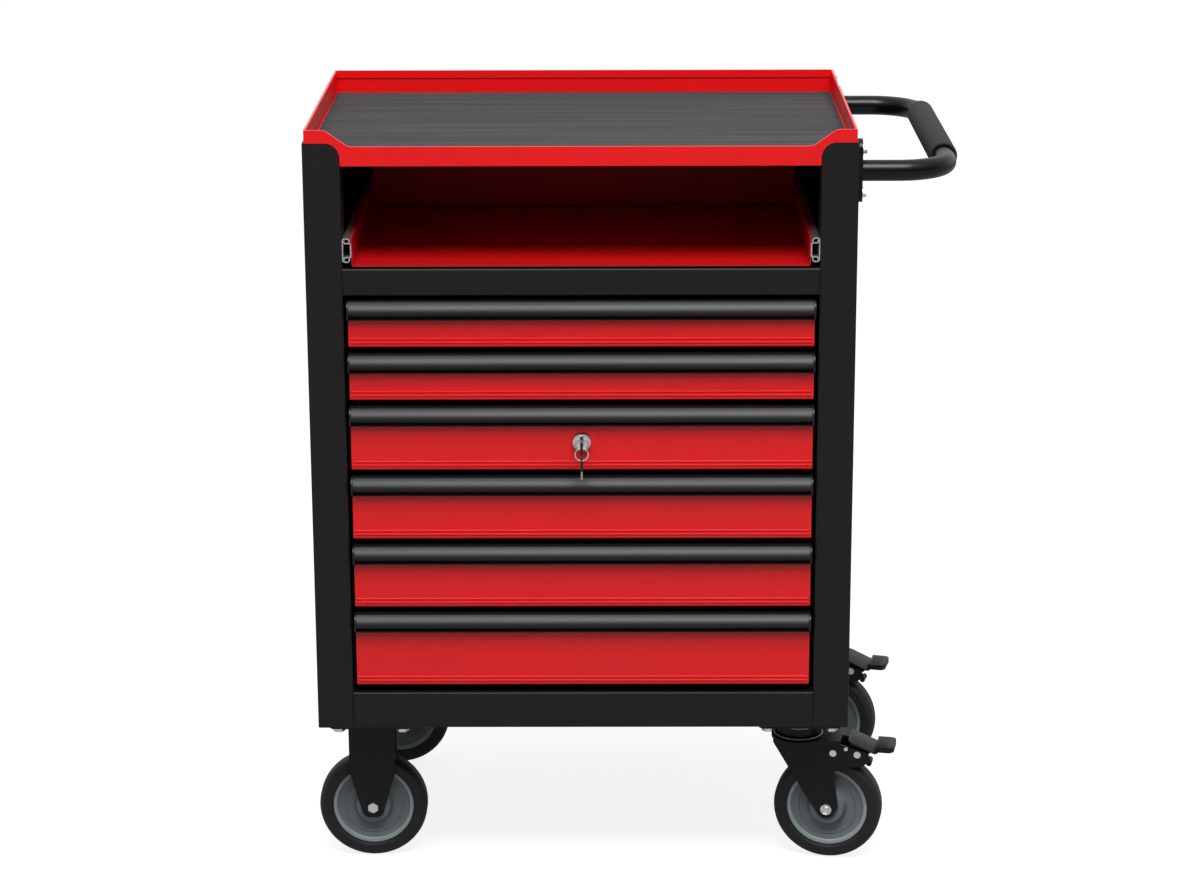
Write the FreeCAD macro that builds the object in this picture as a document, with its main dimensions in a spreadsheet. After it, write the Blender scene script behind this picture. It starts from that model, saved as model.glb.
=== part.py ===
import FreeCAD, Part
import math
import os
import re

import Sketcher

# A service cart: folded sheet-metal cabinet, top tray with mat, pull-out tray, six drawers,
# lock with keys, push handle and four castors.
# X runs along the cart towards the handle, Y from the front to the back, Z up. Inside this file
# the cabinet's own zero is the middle of its width, its front face and its underside; the origin
# of the whole is under the middle of its box, on the floor.

SIZES = [
    ("Width", 600, "cabinet over its side walls"),
    ("Depth", 440, "cabinet, front face to back"),
    ("Height", 670, "cabinet, underside to post tops"),
    ("Sheet", 1.2, "sheet metal of the cabinet"),
    ("Bend", 2, "outer radius of a fold"),
    ("PostFace", 40.5, "width of a front post"),
    ("PostReturn", 40, "depth of a post's inner face"),
    ("PostCorner", 16, "radius of a post top's inner corner"),
    ("FlangeWidth", 20, "rear flange of a side panel"),
    ("HemHeight", 20, "doubled edge along a side panel's top"),
    ("SillTop", 532, "crossbar's upper face"),
    ("SillHeight", 30, "crossbar's height"),
    ("SillDepth", 26, "crossbar's depth"),
    ("RailHeight", 42, "bottom rail's height"),
    ("RailReturn", 18, "bottom rail's upper return"),
    ("PanFlange", 22, "floor pan's rear flange"),
    ("UprightBack", 104, "front edge of the rear uprights ahead of the back"),
    ("UprightDepth", 34, "rear uprights along the depth"),
    ("UprightFlange", 22, "rear uprights' flanges"),
    ("LedgeWidth", 40, "ledge behind the top tray"),
    ("RimHeight", 14.6, "tray rim above the post tops"),
    ("RimHem", 9, "height of the rim's inner hem"),
    ("TrayFloor", 656.5, "upper face of the top tray's floor"),
    ("ApronTop", 666.5, "apron's upper edge in the middle"),
    ("ApronBottom", 645.4, "apron's lower edge"),
    ("ApronReturn", 12, "fold under the apron"),
    ("ShoulderOut", 275.5, "where the apron's upper edge starts to drop"),
    ("ShoulderIn", 250, "where that drop ends"),
    ("ShoulderRadius", 14, "bends of the apron's upper edge"),
    ("MatThickness", 2.5, "rubber mat"),
    ("MatGap", 0.5, "mat to the tray's walls"),
    ("FitGap", 0.3, "close gap between neighbours"),
    ("LedgeDrop", 26, "folds of the ledge behind the tray"),
    ("FrontGap", 4.8, "drawer front to post"),
    ("FrontSetback", 1, "drawer fronts behind the post faces"),
    ("FrontReturn", 13, "folds round a drawer front"),
    ("BeadHeight", 2, "pressed ridge line on a front"),
    ("BeadDepth", 0.9, "how far a ridge line stands out"),
    ("BeadSlope", 0.3, "share of a ridge line's height that each slope takes"),
    ("BeadLow", 4.3, "lower ridge line above the front's edge"),
    ("BeadHigh", 8.6, "upper ridge line above the front's edge"),
    ("DrawerLength", 350, "drawer box behind its front"),
    ("FloorRise", 5, "drawer floor above its front's lower edge"),
    ("SideDrop", 9, "drawer sides below the front's upper edge"),
    ("DrawerTop1", 496.7, "upper edge of the first front"),
    ("DrawerTop2", 436.7, "upper edge of the second front"),
    ("DrawerTop3", 376.7, "upper edge of the third front"),
    ("DrawerTop4", 296.7, "upper edge of the fourth front"),
    ("DrawerTop5", 216.7, "upper edge of the fifth front"),
    ("DrawerTop6", 136.7, "upper edge of the sixth front"),
    ("ShortFront", 52.6, "height of the first two fronts"),
    ("MiddleFront", 72.6, "height of the next three fronts"),
    ("TallFront", 85.4, "height of the last front"),
    ("PullHeight", 21.5, "height of a pull"),
    ("PullDepth", 12, "how far a pull stands out"),
    ("PullOverhang", 0.8, "pull past the front's side"),
    ("PullWall", 1.4, "wall of the pull's profile"),
    ("PullUpstand", 2.4, "thin lip along the pull's top"),
    ("PullHood", 9, "pull's top to the hood's edge"),
    ("HoodFall", 0.6, "fall of the hood's upper face"),
    ("HoodRound", 5.6, "hood's rounded front"),
    ("PullLip", 3, "lip along the pull's bottom"),
    ("PullLipTip", 1, "lip's tip past its root"),
    ("PullLipSlope", 0.8, "slope of the lip's upper side"),
    ("PullFlangeGap", 1, "pull's top flange short of the front's fold"),
    ("CapWidth", 2, "end cap of a pull"),
    ("SlideWidth", 10, "slide between its two walls"),
    ("SlideHeight", 27, "height of the outer slide rail"),
    ("SlideBack", 50, "slide rails' rear ends ahead of the back"),
    ("SlideFront", 40, "drawer slides start behind the front face"),
    ("SlideBend", 3.2, "round tracks of the outer rail"),
    ("SlideRise", 27, "slide's middle above a drawer front's lower edge"),
    ("SlideLip", 5, "turned-in lip of the outer rail"),
    ("InnerHeight", 16.6, "height of the inner rail's hat"),
    ("InnerBrim", 2.6, "brim of the inner rail"),
    ("SlideGap", 0.4, "running gap between the rails"),
    ("DeckRise", 2, "pull-out tray above the crossbar"),
    ("DeckFront", 3, "pull-out tray's front edge"),
    ("DeckDepth", 325, "pull-out tray, front to back"),
    ("DeckSide", 32, "height of the pull-out tray's sides"),
    ("DeckBack", 60, "height of the pull-out tray's back"),
    ("DeckHem", 10, "doubled front edge of the pull-out tray"),
    ("LockHeight", 337.2, "lock's middle"),
    ("BezelRadius", 11, "lock's round bezel"),
    ("BezelStand", 6, "how far the lock stands out"),
    ("FaceRadius", 9, "mouth of the bezel"),
    ("CylinderRadius", 8, "lock cylinder"),
    ("BarrelRadius", 9.2, "threaded barrel of the lock"),
    ("BarrelLength", 17, "lock barrel behind the front"),
    ("NutWidth", 24, "lock nut across its flats"),
    ("NutThickness", 4, "lock nut"),
    ("CamLength", 26, "lock cam from its middle"),
    ("CamWidth", 12, "lock cam"),
    ("CamThickness", 2, "lock cam"),
    ("KeyThickness", 2, "key blade"),
    ("KeyHeight", 7.6, "key blade"),
    ("KeyGap", 0.2, "key in its slot"),
    ("BladeLength", 17, "key blade in the lock"),
    ("BowThickness", 3, "moulded key bow"),
    ("BowHeight", 18.9, "key bow"),
    ("BowLength", 19, "key bow"),
    ("BowStand", 3, "key bow in front of the lock"),
    ("HoleRadius", 2.6, "ring hole in a key bow"),
    ("RingRadius", 7.2, "key ring to its wire's middle"),
    ("WireRadius", 0.8, "key ring wire"),
    ("SpareBow", 15, "spare key's bow, from top to bottom"),
    ("SpareBlade", 11, "spare key's blade"),
    ("TubeRadius", 11.5, "handle tube"),
    ("TubeWall", 1.5, "handle tube wall"),
    ("HandleInset", 15, "handle's legs from the cabinet's front face and back"),
    ("HandleReach", 400, "handle's outer leg from the cabinet's middle"),
    ("HandleDrop", 33, "handle's middle below the post tops"),
    ("HandleBend", 56, "handle's bend radius"),
    ("BracketThickness", 4, "handle bracket"),
    ("BracketWidth", 26, "handle bracket"),
    ("BracketHeight", 67, "handle bracket"),
    ("BracketRise", 1.5, "bracket's middle above the tube's"),
    ("StripWidth", 22, "stiffening strips behind the handle brackets"),
    ("BoltPitch", 48, "handle bolts apart"),
    ("BoltRadius", 3, "handle bolt"),
    ("BoltHead", 3.8, "handle bolt's head height"),
    ("BoltFlats", 10, "handle bolt's head across its flats"),
    ("WasherRadius", 6.3, "handle bolt's washer"),
    ("WasherHeight", 1.2, "handle bolt's washer"),
    ("GripRadius", 15.5, "foam grip"),
    ("GripRound", 3, "rounded ends of the grip"),
    ("GripInset", 25, "grip's front end behind the front bend"),
    ("GripMargin", 1, "grip's rear end ahead of the rear bend"),
    ("ChannelHeight", 15, "castor channel"),
    ("ChannelWidth", 74, "front castor channel"),
    ("ChannelSheet", 2, "castor channel's sheet"),
    ("ChannelInset", 2, "castor channel's ends inside the side walls"),
    ("CastorHeight", 168.5, "castor, plate to floor"),
    ("CastorFront", 75, "front castors behind the front face"),
    ("RigidFront", 245, "front rigid castor left of the middle"),
    ("RigidRear", 234, "rear rigid castor left of the middle"),
    ("RigidRearBack", 75, "rear rigid castor ahead of the back"),
    ("SwivelFront", 248.5, "front swivel axis right of the middle"),
    ("SwivelRear", 264, "rear swivel axis right of the middle"),
    ("SwivelRearBack", 82, "rear swivel axis ahead of the back"),
    ("FrontTurn", -11, "front swivel castor as it stands, in degrees"),
    ("RearTurn", -15, "rear swivel castor as it stands, in degrees"),
    ("RearChannelWidth", 106, "rear castor channel, wide enough for a plate set lengthwise"),
    ("PlateLength", 95, "castor plate"),
    ("PlateWidth", 67, "castor plate"),
    ("PlateThickness", 3, "castor plate"),
    ("PlateCorner", 8, "castor plate's corners"),
    ("HolePitchX", 73, "castor plate's holes along"),
    ("HolePitchY", 45, "castor plate's holes across"),
    ("CastorBolt", 4, "castor bolt"),
    ("BoltHex", 13, "castor bolt head across its flats"),
    ("HexHeight", 4, "castor bolt head"),
    ("CastorWasher", 1.3, "castor bolt's washer, its thickness and its brim"),
    ("WheelRadius", 62.5, "wheel"),
    ("TyreWidth", 28, "tyre"),
    ("TreadWidth", 16, "flat part of the tread"),
    ("ShoulderRise", 3.2, "tyre's shoulder below its tread"),
    ("RimRadius", 46.5, "wheel's rim under the tyre"),
    ("RimRing", 6, "raised ring of the rim"),
    ("RimFace", 9.5, "ring's face from the wheel's middle"),
    ("DishFace", 5, "dish from the wheel's middle"),
    ("DishFoot", 24, "outer radius of the boss's flare"),
    ("BossRadius", 16, "hub boss"),
    ("BossFace", 14.6, "boss face from the wheel's middle"),
    ("ForkGap", 15, "inside of a fork leg from the wheel's middle"),
    ("ForkSheet", 2.5, "fork sheet"),
    ("LegWidth", 53, "rigid leg"),
    ("LegFoot", 12.5, "radius of a leg's lower end"),
    ("LegTaper", 59.5, "rigid leg's straight part below the plate"),
    ("AxleRadius", 4, "axle"),
    ("AxleFit", 0.06, "hub bore round the axle"),
    ("AxleHead", 6.5, "axle head"),
    ("HeadHeight", 3, "axle head"),
    ("Trail", 36, "swivel axis to axle"),
    ("RaceRadius", 28, "ball race"),
    ("RaceHeight", 5, "each race"),
    ("BallGap", 9, "between the races"),
    ("RaceFit", 0.3, "running gap of the swivel"),
    ("CrownRadius", 31, "fork crown"),
    ("KingpinRadius", 7, "kingpin"),
    ("KingpinHead", 11, "kingpin's head"),
    ("RivetRadius", 4, "fork rivets"),
    ("RivetHeight", 1.5, "fork rivets' heads"),
    ("ForkBack", 27, "fork leg's rear top corner behind the swivel axis"),
    ("EarTip", 87, "fork ear's tip from the swivel axis"),
    ("EarTipDrop", 57, "fork ear's tip below the cabinet"),
    ("EarLow", 67, "fork ear's lower edge below the cabinet"),
    ("PedalPivot", 70.9, "pedal pivot from the swivel axis"),
    ("PedalPivotDrop", 51, "pedal pivot below the cabinet"),
    ("AnchorPlace", 42.9, "brake anchor from the swivel axis"),
    ("PedalSheet", 2, "pedal sheet"),
    ("PedalStart", 57, "pedal's rear end from the swivel axis"),
    ("PedalTop", 21, "pedal's rear end below the cabinet"),
    ("PedalRear", 18, "height of the pedal's rear end"),
    ("PedalKnee", 88.5, "pedal's lowest fold from the swivel axis"),
    ("PedalKneeDrop", 36, "pedal's lowest fold below the cabinet"),
    ("PedalTip", 112, "pedal's tip from the swivel axis"),
    ("PedalTipDrop", 33, "pedal's tip below the cabinet"),
    ("PedalFlange", 8, "side flanges ahead of the pivot"),
    ("PadLength", 22, "ribbed toe pad"),
    ("PadThickness", 8, "ribbed toe pad"),
    ("PadRib", 1.2, "ribs of the toe pad"),
    ("PadHalf", 16, "half the toe pad's width"),
    ("PedalHalf", 14, "half the pedal's width between the ears"),
]

# Places worked out from the sizes above.
DERIVED = {
    "Half": "Width/2",
    "PostInner": "Half - PostFace",
    "WallInner": "Half - Sheet",
    "RimOuter": "Half - 2*Sheet",
    "TrayDepth": "Depth - LedgeWidth",
    "UprightFront": "Depth - UprightBack",
    "SlideLength": "Depth - SlideFront - SlideBack",
    "HandleHeight": "Height - HandleDrop",
    "HandleFront": "HandleInset",
    "HandleBack": "Depth - HandleInset",
    "GripStart": "HandleFront + HandleBend + GripInset",
    "GripLength": "HandleBack - HandleBend - GripMargin - (GripStart)",
    "RigidRearDepth": "Depth - RigidRearBack",
    "SwivelRearDepth": "Depth - SwivelRearBack",
    "RimInner": "RimOuter - Sheet",
    "RimTop": "Height + RimHeight",
    "TrayUnder": "TrayFloor - Sheet",
    "BackInner": "Depth - 2*Sheet",
    "FrontHalf": "PostInner - FrontGap",
    "BoxHalf": "PostInner - SlideWidth",
    "PullHalf": "FrontHalf + PullOverhang",
    "DeckUnder": "SillTop + DeckRise",
    "DeckSlide": "DeckUnder + 18",
    "PlateTop": "-ChannelHeight",
    "PlateUnder": "PlateTop - PlateThickness",
    "Ground": "-ChannelHeight - CastorHeight",
    "AxleHeight": "Ground + WheelRadius",
    "CupUnder": "PlateUnder - RaceHeight",
    "BallUnder": "CupUnder - BallGap",
    "RaceTop": "BallUnder - RaceFit",
    "CrownTop": "RaceTop - RaceHeight + 1",
    "CrownUnder": "CrownTop - PlateThickness",
    "ForkOuter": "ForkGap + ForkSheet",
    "BowFront": "FrontSetback - BezelStand - BowStand - BowLength",
    "HolePlace": "BowFront + 5.6",
    "RingHeight": "LockHeight - HoleRadius + WireRadius + FitGap/2 - RingRadius",
    "SpareHole": "RingHeight - RingRadius + WireRadius + FitGap/2 - HoleRadius",
    "OriginX": "-(HandleReach + GripRadius - RigidFront - WheelRadius)/2",
    "OriginY": "-(Depth + BowFront)/2",
    "OriginZ": "-Ground",
}

DRAWERS = [
    (1, "ShortFront"),
    (2, "ShortFront"),
    (3, "MiddleFront"),
    (4, "MiddleFront"),
    (5, "MiddleFront"),
    (6, "TallFront"),
]
LOCKED_DRAWER = 3
HANDLE_LEGS = ("HandleFront", "HandleBack")

doc = FreeCAD.newDocument("ServiceCart")
sheet = doc.addObject("Spreadsheet::Sheet", "Sizes")
for row, (alias, size, note) in enumerate(SIZES, start=1):
    sheet.set(f"A{row}", alias)
    sheet.set(f"B{row}", str(size))
    sheet.setAlias(f"B{row}", alias)
    sheet.set(f"C{row}", note)
doc.recompute()

WORD = re.compile(r"[A-Za-z_]\w*")
ALIASES = {alias for alias, size, note in SIZES}
subparts = []


def full(expression):
    """The expression with its names led back to the sheet's cells."""
    def swap(match):
        word = match.group(0)
        if word in DERIVED:
            return "(" + full(DERIVED[word]) + ")"
        return "Sizes." + word if word in ALIASES else word
    return WORD.sub(swap, str(expression))


def value(expression):
    """The number that an expression gives now."""
    return float(sheet.evalExpression(full(expression)))


def bind(thing, **expressions):
    for name, expression in expressions.items():
        thing.setExpression(name, full(expression))


def place(thing, x, y, z, turn="0"):
    """Puts a sub-part at a place given from the cabinet's own zero."""
    thing.setExpression("Placement.Base.x", full(f"OriginX + ({x})"))
    thing.setExpression("Placement.Base.y", full(f"OriginY + ({y})"))
    thing.setExpression("Placement.Base.z", full(f"OriginZ + ({z})"))
    if turn != "0":
        thing.setExpression("Placement.Rotation.Angle", full(turn))


def new_body(label):
    body = doc.addObject("PartDesign::Body", label)
    body.Label = label
    subparts.append(body)
    return body


def group(label, pieces):
    compound = doc.addObject("Part::Compound", label)
    compound.Label = label
    compound.Links = pieces
    subparts.append(compound)
    return compound


PLANES = {"XY": "XY_Plane", "XZ": "XZ_Plane", "YZ": "YZ_Plane"}


def new_sketch(body, plane, start):
    """A sketch on one of the body's planes, moved along the plane's positive axis."""
    sketch = body.newObject("Sketcher::SketchObject", "Sketch")
    origin = [f for f in body.Origin.OriginFeatures if f.Role == PLANES[plane]][0]
    sketch.AttachmentSupport = [(origin, "")]
    sketch.MapMode = "FlatFace"
    sign = "-" if plane == "XZ" else ""
    sketch.setExpression("AttachmentOffset.Base.z", full(f"{sign}({start})"))
    return sketch


def pin(sketch, geometry, point, across, up):
    """Ties a point of the sketch to its two distances from the origin."""
    for kind, expression in (("DistanceX", across), ("DistanceY", up)):
        number = value(expression)
        index = sketch.addConstraint(Sketcher.Constraint(kind, -1, 1, geometry, point, number))
        sketch.setExpression(f"Constraints[{index}]", full(expression))


def draw_outline(sketch, corners):
    """A closed outline. A corner is (across, up) or, where it is rounded, (across, up, radius)."""
    places = [FreeCAD.Vector(value(c[0]), value(c[1]), 0) for c in corners]
    count = len(corners)
    starts, ends, arcs = [], [], []
    for i, corner in enumerate(corners):
        here, before, after = places[i], places[i - 1], places[(i + 1) % count]
        if len(corner) < 3:
            starts.append(here)
            ends.append(here)
            arcs.append(None)
            continue
        into = (before - here).normalize()
        out = (after - here).normalize()
        radius = value(corner[2])
        half_angle = into.getAngle(out) / 2
        reach = radius / math.tan(half_angle)
        middle = here + (into + out).normalize() * (radius / math.sin(half_angle))
        near = middle + (here - middle).normalize() * radius
        starts.append(here + into * reach)
        ends.append(here + out * reach)
        arcs.append(Part.Arc(here + into * reach, near, here + out * reach))
    lines = []
    for i in range(count):
        lines.append(sketch.addGeometry(Part.LineSegment(ends[i], starts[(i + 1) % count]), False))
    for i, corner in enumerate(corners):
        line_in, line_out = lines[i - 1], lines[i]
        if arcs[i] is None:
            sketch.addConstraint(Sketcher.Constraint("Coincident", line_in, 2, line_out, 1))
            pin(sketch, line_out, 1, corner[0], corner[1])
            continue
        arc = sketch.addGeometry(arcs[i], False)
        tip = sketch.getPoint(arc, 1)
        forward = tip.distanceToPoint(starts[i]) < tip.distanceToPoint(ends[i])
        first, last = (1, 2) if forward else (2, 1)
        sketch.addConstraint(Sketcher.Constraint("Tangent", line_in, 2, arc, first))
        sketch.addConstraint(Sketcher.Constraint("Tangent", line_out, 1, arc, last))
        index = sketch.addConstraint(Sketcher.Constraint("Radius", arc, value(corner[2])))
        sketch.setExpression(f"Constraints[{index}]", full(corner[2]))
        apex = sketch.addGeometry(Part.Point(places[i]), True)
        sketch.addConstraint(Sketcher.Constraint("PointOnObject", apex, 1, line_in))
        sketch.addConstraint(Sketcher.Constraint("PointOnObject", apex, 1, line_out))
        pin(sketch, apex, 1, corner[0], corner[1])


def draw_circles(sketch, circles):
    """Circles, each (across, up, radius)."""
    for across, up, radius in circles:
        centre = FreeCAD.Vector(value(across), value(up), 0)
        number = sketch.addGeometry(Part.Circle(centre, FreeCAD.Vector(0, 0, 1), value(radius)), False)
        pin(sketch, number, 3, across, up)
        index = sketch.addConstraint(Sketcher.Constraint("Radius", number, value(radius)))
        sketch.setExpression(f"Constraints[{index}]", full(radius))


def extrude(body, kind, plane, start, length, outline=(), circles=()):
    """A pad or pocket from start to start + length along the plane's positive axis."""
    sketch = new_sketch(body, plane, start)
    if outline:
        draw_outline(sketch, outline)
    draw_circles(sketch, circles)
    feature = body.newObject("PartDesign::" + kind, kind)
    feature.Profile = sketch
    bind(feature, Length=length)
    # A pad follows its sketch's normal and a pocket runs against it; the XZ plane's points to -Y.
    feature.Reversed = (plane == "XZ") == (kind == "Pad")
    return feature


def pad(body, plane, start, length, outline=(), circles=()):
    return extrude(body, "Pad", plane, start, length, outline, circles)


def pocket(body, plane, start, length, outline=(), circles=()):
    return extrude(body, "Pocket", plane, start, length, outline, circles)


def revolve(body, kind, plane, outline, axis):
    """A Revolution or Groove of an outline about the sketch's horizontal or vertical axis."""
    sketch = new_sketch(body, plane, "0")
    draw_outline(sketch, outline)
    feature = body.newObject("PartDesign::" + kind, kind)
    feature.Profile = sketch
    feature.ReferenceAxis = (sketch, [axis])
    feature.Angle = 360
    return feature


def block(body, x, y, z, kind="Pad"):
    """A straight block, each side given as (from, to)."""
    corners = rectangle(x, y)
    return extrude(body, kind, "XY", z[0], f"({z[1]}) - ({z[0]})", corners)


def rectangle(x, y, radius=None):
    corners = [(x[0], y[0]), (x[1], y[0]), (x[1], y[1]), (x[0], y[1])]
    if radius is None:
        return corners
    return [corner + (radius,) for corner in corners]


def folded(path, side, thickness="Sheet", bend="Bend"):
    """The closed section of a folded sheet.

    The path is one face of the sheet, with square folds; the sheet lies to its right (side 1)
    or to its left (side -1).
    """
    points = [(value(a), value(b)) for a, b in path]
    steps = []
    for (a0, b0), (a1, b1) in zip(points, points[1:]):
        length = math.hypot(a1 - a0, b1 - b0)
        steps.append((round((a1 - a0) / length), round((b1 - b0) / length)))
    near, far = [], []
    for i, (across, up) in enumerate(path):
        sides = steps[max(i - 1, 0):i + 1]
        shift_a = side * sum(step[1] for step in sides)
        shift_b = -side * sum(step[0] for step in sides)
        moved = (f"({across}) + ({shift_a})*{thickness}", f"({up}) + ({shift_b})*{thickness}")
        if len(sides) == 2 and sides[0] != sides[1]:
            turn = sides[0][0] * sides[1][1] - sides[0][1] * sides[1][0]
            outside = turn * side < 0
            outer, inner = bend, f"{bend} - {thickness}"
            near.append((across, up, outer if outside else inner))
            far.append(moved + (inner if outside else outer,))
        else:
            near.append((across, up))
            far.append(moved)
    return near + far[::-1]


def mirrored(corners, side):
    """The outline as drawn for the right side, or its mirror image for the left."""
    if side > 0:
        return corners
    return [(f"-({corner[0]})",) + tuple(corner[1:]) for corner in corners]


def side_panel(label, side):
    """Side wall folded round into the front post, with a rear flange and a foot flange."""
    body = new_body(label)
    path = [
        ("PostInner", "PostReturn"),
        ("PostInner", "0"),
        ("Half", "0"),
        ("Half", "Depth"),
        ("Half - FlangeWidth", "Depth"),
    ]
    pad(body, "XY", "0", "Height", mirrored(folded(path, -1), side))
    foot = rectangle(("PostInner", "WallInner"), ("Sheet", "Depth - Sheet"))
    pad(body, "XY", "0", "Sheet", mirrored(foot, side))
    hem = rectangle(("RimOuter", "WallInner"), ("Bend", "BackInner"))
    pad(body, "XY", "Height - HemHeight", "HemHeight", mirrored(hem, side))
    above = rectangle(("PostInner - Sheet", "WallInner - Bend"), ("Sheet", "PostReturn + Sheet"))
    pocket(body, "XY", "TrayUnder", "Height", mirrored(above, side))
    corner = [
        ("PostInner - Sheet", "Height - PostCorner - Sheet"),
        ("PostInner", "Height - PostCorner - Sheet"),
        ("PostInner", "Height", "PostCorner"),
        ("PostInner + PostCorner + Sheet", "Height"),
        ("PostInner + PostCorner + Sheet", "Height + Sheet"),
        ("PostInner - Sheet", "Height + Sheet"),
    ]
    pocket(body, "XZ", "-Sheet", "3*Sheet", mirrored(corner, side))
    if side > 0:
        for y in HANDLE_LEGS:
            strip = rectangle(("RimOuter", "WallInner"), (f"{y} - StripWidth/2", f"{y} + StripWidth/2"))
            low = "HandleHeight - BracketHeight/2"
            pad(body, "XY", low, f"Height - HemHeight - ({low})", strip)
        holes = [(y, z, "BoltRadius + FitGap/3") for y, z in handle_bolt_places()]
        pocket(body, "YZ", "RimOuter - Sheet", "4*Sheet", circles=holes)
    place(body, "0", "0", "0")


def handle_bolt_places():
    return [
        (y, f"HandleHeight + {sign}*BoltPitch/2")
        for y in HANDLE_LEGS
        for sign in ("1", "-1")
    ]


def build_cabinet():
    side_panel("left_side_panel", -1)
    side_panel("right_side_panel", 1)

    back = new_body("back_panel")
    edge = "WallInner - Bend + Sheet"
    block(back, (f"-({edge})", edge), ("BackInner", "Depth - Sheet"), ("Sheet", "Height"))
    place(back, "0", "0", "0")

    ledge = new_body("rear_top_rail")
    path = [
        ("TrayDepth", "Height - LedgeDrop"),
        ("TrayDepth", "Height"),
        ("BackInner", "Height"),
        ("BackInner", "Height - LedgeDrop"),
    ]
    pad(ledge, "YZ", "-RimOuter", "2*RimOuter", folded(path, 1))
    place(ledge, "0", "0", "0")

    sill = new_body("front_sill")
    path = [
        ("SillDepth", "SillTop - SillHeight"),
        ("0", "SillTop - SillHeight"),
        ("0", "SillTop"),
        ("SillDepth", "SillTop"),
    ]
    pad(sill, "YZ", "-PostInner", "2*PostInner", folded(path, 1))
    place(sill, "0", "0", "0")

    pan = new_body("floor_pan")
    path = [
        ("RailReturn", "RailHeight"),
        ("0", "RailHeight"),
        ("0", "0"),
        ("BackInner", "0"),
        ("BackInner", "PanFlange"),
    ]
    pad(pan, "YZ", "-PostInner", "2*PostInner", folded(path, -1))
    place(pan, "0", "0", "0")


def build_channels():
    """Two folded channels under the floor, one for each pair of castors."""
    pieces = []
    for middle, width in (("CastorFront", "ChannelWidth"), ("SwivelRearDepth", "RearChannelWidth")):
        body = doc.addObject("PartDesign::Body", "channel")
        path = [
            (f"{middle} - {width}/2", "0"),
            (f"{middle} - {width}/2", "PlateTop"),
            (f"{middle} + {width}/2", "PlateTop"),
            (f"{middle} + {width}/2", "0"),
        ]
        section = folded(path, -1, "ChannelSheet", "2*ChannelSheet")
        pad(body, "YZ", "ChannelInset - Half", "2*(Half - ChannelInset)", section)
        pieces.append(body)
    place(group("caster_channels", pieces), "0", "0", "0")


def build_uprights():
    """Rear uprights: channels from the floor to the top tray that carry the slides' rear ends."""
    pieces = []
    for side in (-1, 1):
        body = doc.addObject("PartDesign::Body", "upright")
        path = [
            ("PostInner + UprightFlange", "UprightFront"),
            ("PostInner", "UprightFront"),
            ("PostInner", "UprightFront + UprightDepth"),
            ("PostInner + UprightFlange", "UprightFront + UprightDepth"),
        ]
        pad(body, "XY", "Sheet", "TrayUnder - Sheet", mirrored(folded(path, 1), side))
        pieces.append(body)
    place(group("rear_uprights", pieces), "0", "0", "0")


def build_top_tray():
    body = new_body("top_tray")
    walls = [
        ("-RimOuter", "Sheet"),
        ("-RimInner", "Sheet"),
        ("-RimInner", "TrayDepth - Sheet"),
        ("RimInner", "TrayDepth - Sheet"),
        ("RimInner", "Sheet"),
        ("RimOuter", "Sheet"),
        ("RimOuter", "TrayDepth", "Bend"),
        ("-RimOuter", "TrayDepth", "Bend"),
    ]
    pad(body, "XY", "TrayUnder", "RimTop - TrayUnder", walls)
    hem = [
        ("-RimInner", "2*Sheet"),
        ("-RimInner + Sheet", "2*Sheet"),
        ("-RimInner + Sheet", "TrayDepth - 2*Sheet"),
        ("RimInner - Sheet", "TrayDepth - 2*Sheet"),
        ("RimInner - Sheet", "2*Sheet"),
        ("RimInner", "2*Sheet"),
        ("RimInner", "TrayDepth - Sheet"),
        ("-RimInner", "TrayDepth - Sheet"),
    ]
    pad(body, "XY", "RimTop - RimHem", "RimHem", hem)
    block(body, ("-RimInner", "RimInner"), ("2*Sheet", "TrayDepth - Sheet"), ("TrayUnder", "TrayFloor"))
    upper = [
        ("RimOuter", "RimTop"),
        ("ShoulderOut", "RimTop", "ShoulderRadius"),
        ("ShoulderIn", "ApronTop", "ShoulderRadius"),
        ("-ShoulderIn", "ApronTop", "ShoulderRadius"),
        ("-ShoulderOut", "RimTop", "ShoulderRadius"),
        ("-RimOuter", "RimTop"),
    ]
    lining = upper + [("-RimOuter", "TrayUnder"), ("RimOuter", "TrayUnder")]
    pad(body, "XZ", "Sheet", "Sheet", lining)
    edge = "PostInner - FitGap"
    post_top = "Height + FitGap"
    apron = upper + [
        ("-RimOuter", post_top),
        (f"-({edge})", post_top, "PostCorner + FitGap"),
        (f"-({edge})", "ApronBottom"),
        (edge, "ApronBottom"),
        (edge, post_top, "PostCorner + FitGap"),
        ("RimOuter", post_top),
    ]
    pad(body, "XZ", "0", "Sheet", apron)
    block(body, (f"-({edge})", edge), ("0", "ApronReturn"), ("ApronBottom", "ApronBottom + Sheet"))
    place(body, "0", "0", "0")

    mat = new_body("ribbed_mat")
    x = "RimInner - Sheet - MatGap"
    depth = ("2*Sheet + MatGap", "TrayDepth - 2*Sheet - MatGap")
    block(mat, (f"-({x})", x), depth, ("TrayFloor", "TrayFloor + MatThickness"))
    place(mat, "0", "0", "0")


def outer_rail(side, height, start):
    """The cabinet's rail of a slide: a channel with turned-in lips, open to the drawer."""
    body = doc.addObject("PartDesign::Body", "outer_rail")
    lip_x = "BoxHalf + Sheet + SlideGap/2"
    path = [
        (lip_x, "-SlideHeight/2 + SlideLip"),
        (lip_x, "-SlideHeight/2"),
        ("PostInner", "-SlideHeight/2"),
        ("PostInner", "SlideHeight/2"),
        (lip_x, "SlideHeight/2"),
        (lip_x, "SlideHeight/2 - SlideLip"),
    ]
    section = folded(path, -1, "Sheet", "SlideBend")
    pad(body, "XZ", start, "SlideLength", mirrored(section, side))
    bind_base_z(body, height)
    return body


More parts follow.
